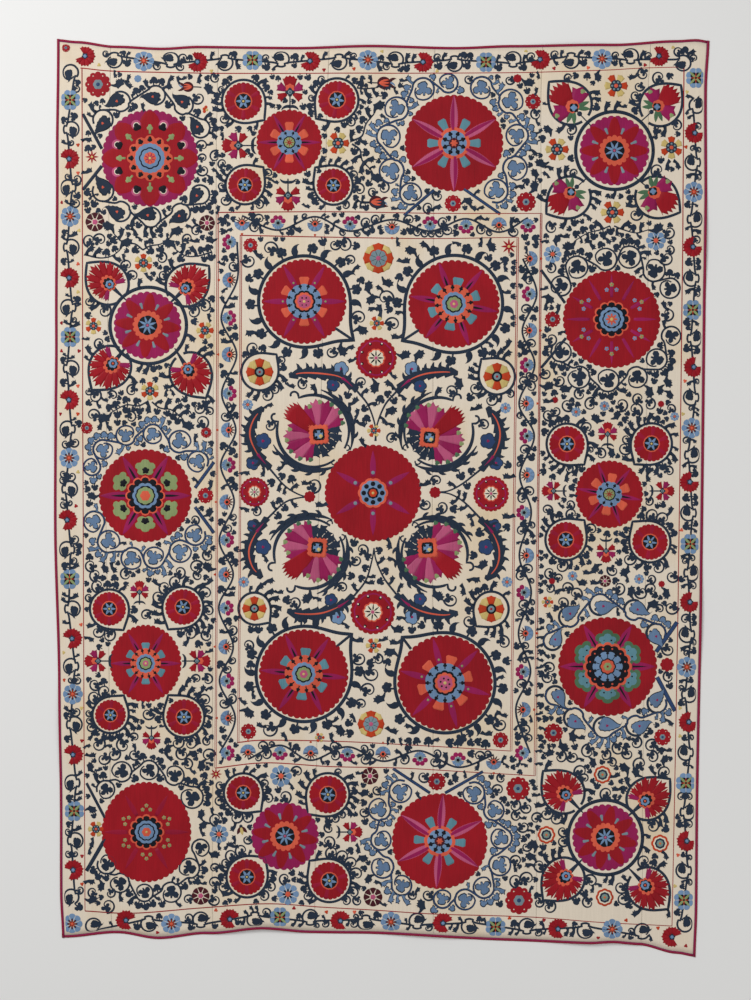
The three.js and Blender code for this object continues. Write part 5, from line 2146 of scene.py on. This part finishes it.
class SUZANI_OT_palmettes(bpy.types.Operator):
    """Sews the palmettes, feathered leaves and stems of the middle of the field"""

    bl_idname = "suzani.palmettes"
    bl_label = "Palmettes"

    def execute(self, context):
        work = Needlework(18)
        arms = []
        for row in table(PALMETTES):
            GROUND.mark(row.x, row.y, row.r - 1.5)
            palmette(work, row.ex, row.ey, row.turn)
            arms += palmette_scroll(work, row.x, row.y, row.r, row.turn)
        for line, lobes in zip(FEATHERS.strip().splitlines(), FEATHER_LOBES):
            words = line.split()
            places = [tuple(map(float, word.split(","))) for word in words[1:]]
            saz_leaf(work, places, float(words[0]), lobes=chunks(lobes, 4))
        paths = vines(work, CENTRAL_VINES, "navy")
        for arm in arms:
            grow(work, arm, "claw spray", (16, 14, 12, 10, 8), 4.0, lean=62, gap=0.6)
        for path in paths:
            grow(work, path, "claw bud", (10, 8.5, 7), 6.0, gap=0.8)
        work.make("silk_palmettes")
        return {"FINISHED"}


class SUZANI_OT_filling(bpy.types.Operator):
    """Fills the ground that is still bare with leaves"""

    bl_idname = "suzani.filling"
    bl_label = "Filling leaves"

    def execute(self, context):
        work = Needlework(19)
        for box in ((86, 76, 680, 211), (86, 212, 213, 770), (544, 212, 672, 776), (88, 772, 668, 906)):
            fill_bare(work, box)
        fill_bare(work, (244, 240, 510, 738), ((7.4, 17, "curl spray"), (5.8, 13.5, "curl claw"), (4.6, 11, "claw bud")))
        work.make("silk_filling")
        return {"FINISHED"}


def area_light(name, location, size, energy, aim):
    """A soft square light that points from its place to its aim."""
    light = bpy.data.lights.new(name, "AREA")
    light.shape = "SQUARE"
    light.size = size
    light.energy = energy
    lamp = bpy.data.objects.new(name, light)
    lamp.location = location
    heading = np.array(aim, float) - np.array(location, float)
    from mathutils import Vector
    lamp.rotation_mode = "QUATERNION"
    lamp.rotation_quaternion = Vector(heading).to_track_quat("-Z", "Y")
    bpy.context.scene.collection.objects.link(lamp)


class SUZANI_OT_stage(bpy.types.Operator):
    """Makes the floor, the soft light and the camera above the cloth"""

    bl_idname = "suzani.stage"
    bl_label = "Stage"

    def execute(self, context):
        scene = context.scene
        half = 12.0
        mesh = bpy.data.meshes.new("studio_floor")
        mesh.from_pydata([(-half, -half, 0), (half, -half, 0), (half, half, 0), (-half, half, 0)], [], [(0, 1, 2, 3)])
        floor = bpy.data.objects.new("studio_floor", mesh)
        scene.collection.objects.link(floor)
        paper = bpy.data.materials.new("Studio paper")
        paper.use_nodes = True
        shader = paper.node_tree.nodes["Principled BSDF"]
        shader.inputs["Base Color"].default_value = (0.80, 0.80, 0.79, 1)
        shader.inputs["Roughness"].default_value = 0.9
        mesh.materials.append(paper)
        world = bpy.data.worlds.new("Studio")
        world.use_nodes = True
        world.node_tree.nodes["Background"].inputs["Color"].default_value = (1.0, 0.99, 0.98, 1)
        world.node_tree.nodes["Background"].inputs["Strength"].default_value = 0.40
        scene.world = world
        area_light("Key light", (-3.6, 3.2, 4.2), 2.6, 245, (0, 0, 0))
        area_light("Fill light", (4.5, -2.5, 4.5), 4.0, 88, (0, 0, 0))
        camera = bpy.data.cameras.new("View")
        camera.sensor_width = SENSOR_MM
        camera.lens = SENSOR_MM * CAMERA_HEIGHT / (VIEW_SIZE[1] * VIEW_PIXEL)
        camera.clip_end = 60
        eye = bpy.data.objects.new("View", camera)
        x, y = to_millimetres(VIEW_SIZE[0] / 2, VIEW_SIZE[1] / 2)
        eye.location = (float(x) / 1000, float(y) / 1000, CAMERA_HEIGHT)
        scene.collection.objects.link(eye)
        scene.camera = eye
        scene.view_settings.view_transform = "Standard"
        return {"FINISHED"}


class SUZANI_PT_panel(bpy.types.Panel):
    """Lists the pieces and their settings"""

    bl_idname = "SUZANI_PT_panel"
    bl_label = "Suzani"
    bl_space_type = "VIEW_3D"
    bl_region_type = "UI"
    bl_category = "Suzani"

    def draw(self, context):
        for name in ClothSettings.__annotations__:
            self.layout.prop(context.scene.suzani_cloth, name)
        for name in THREAD_NAMES:
            self.layout.prop(context.scene.suzani_threads, name)
        for operator in OPERATORS:
            self.layout.operator(operator.bl_idname)


OPERATORS = (SUZANI_OT_stage, SUZANI_OT_cloth, SUZANI_OT_braid, SUZANI_OT_rules, SUZANI_OT_rosettes,
             SUZANI_OT_outer_border, SUZANI_OT_inner_border, SUZANI_OT_scrolls, SUZANI_OT_rings,
             SUZANI_OT_palmettes, SUZANI_OT_filling)
CLASSES = (ClothSettings, ThreadSettings, *OPERATORS, SUZANI_PT_panel)


def register():
    for cls in CLASSES:
        bpy.utils.register_class(cls)
    bpy.types.Scene.suzani_cloth = PointerProperty(type=ClothSettings)
    bpy.types.Scene.suzani_threads = PointerProperty(type=ThreadSettings)


def unregister():
    del bpy.types.Scene.suzani_threads
    del bpy.types.Scene.suzani_cloth
    for cls in reversed(CLASSES):
        bpy.utils.unregister_class(cls)


def main():
    """Makes every piece in order."""
    register()
    for operator in OPERATORS:
        group, name = operator.bl_idname.split(".")
        getattr(getattr(bpy.ops, group), name)()


if __name__ == "__main__":
    main()
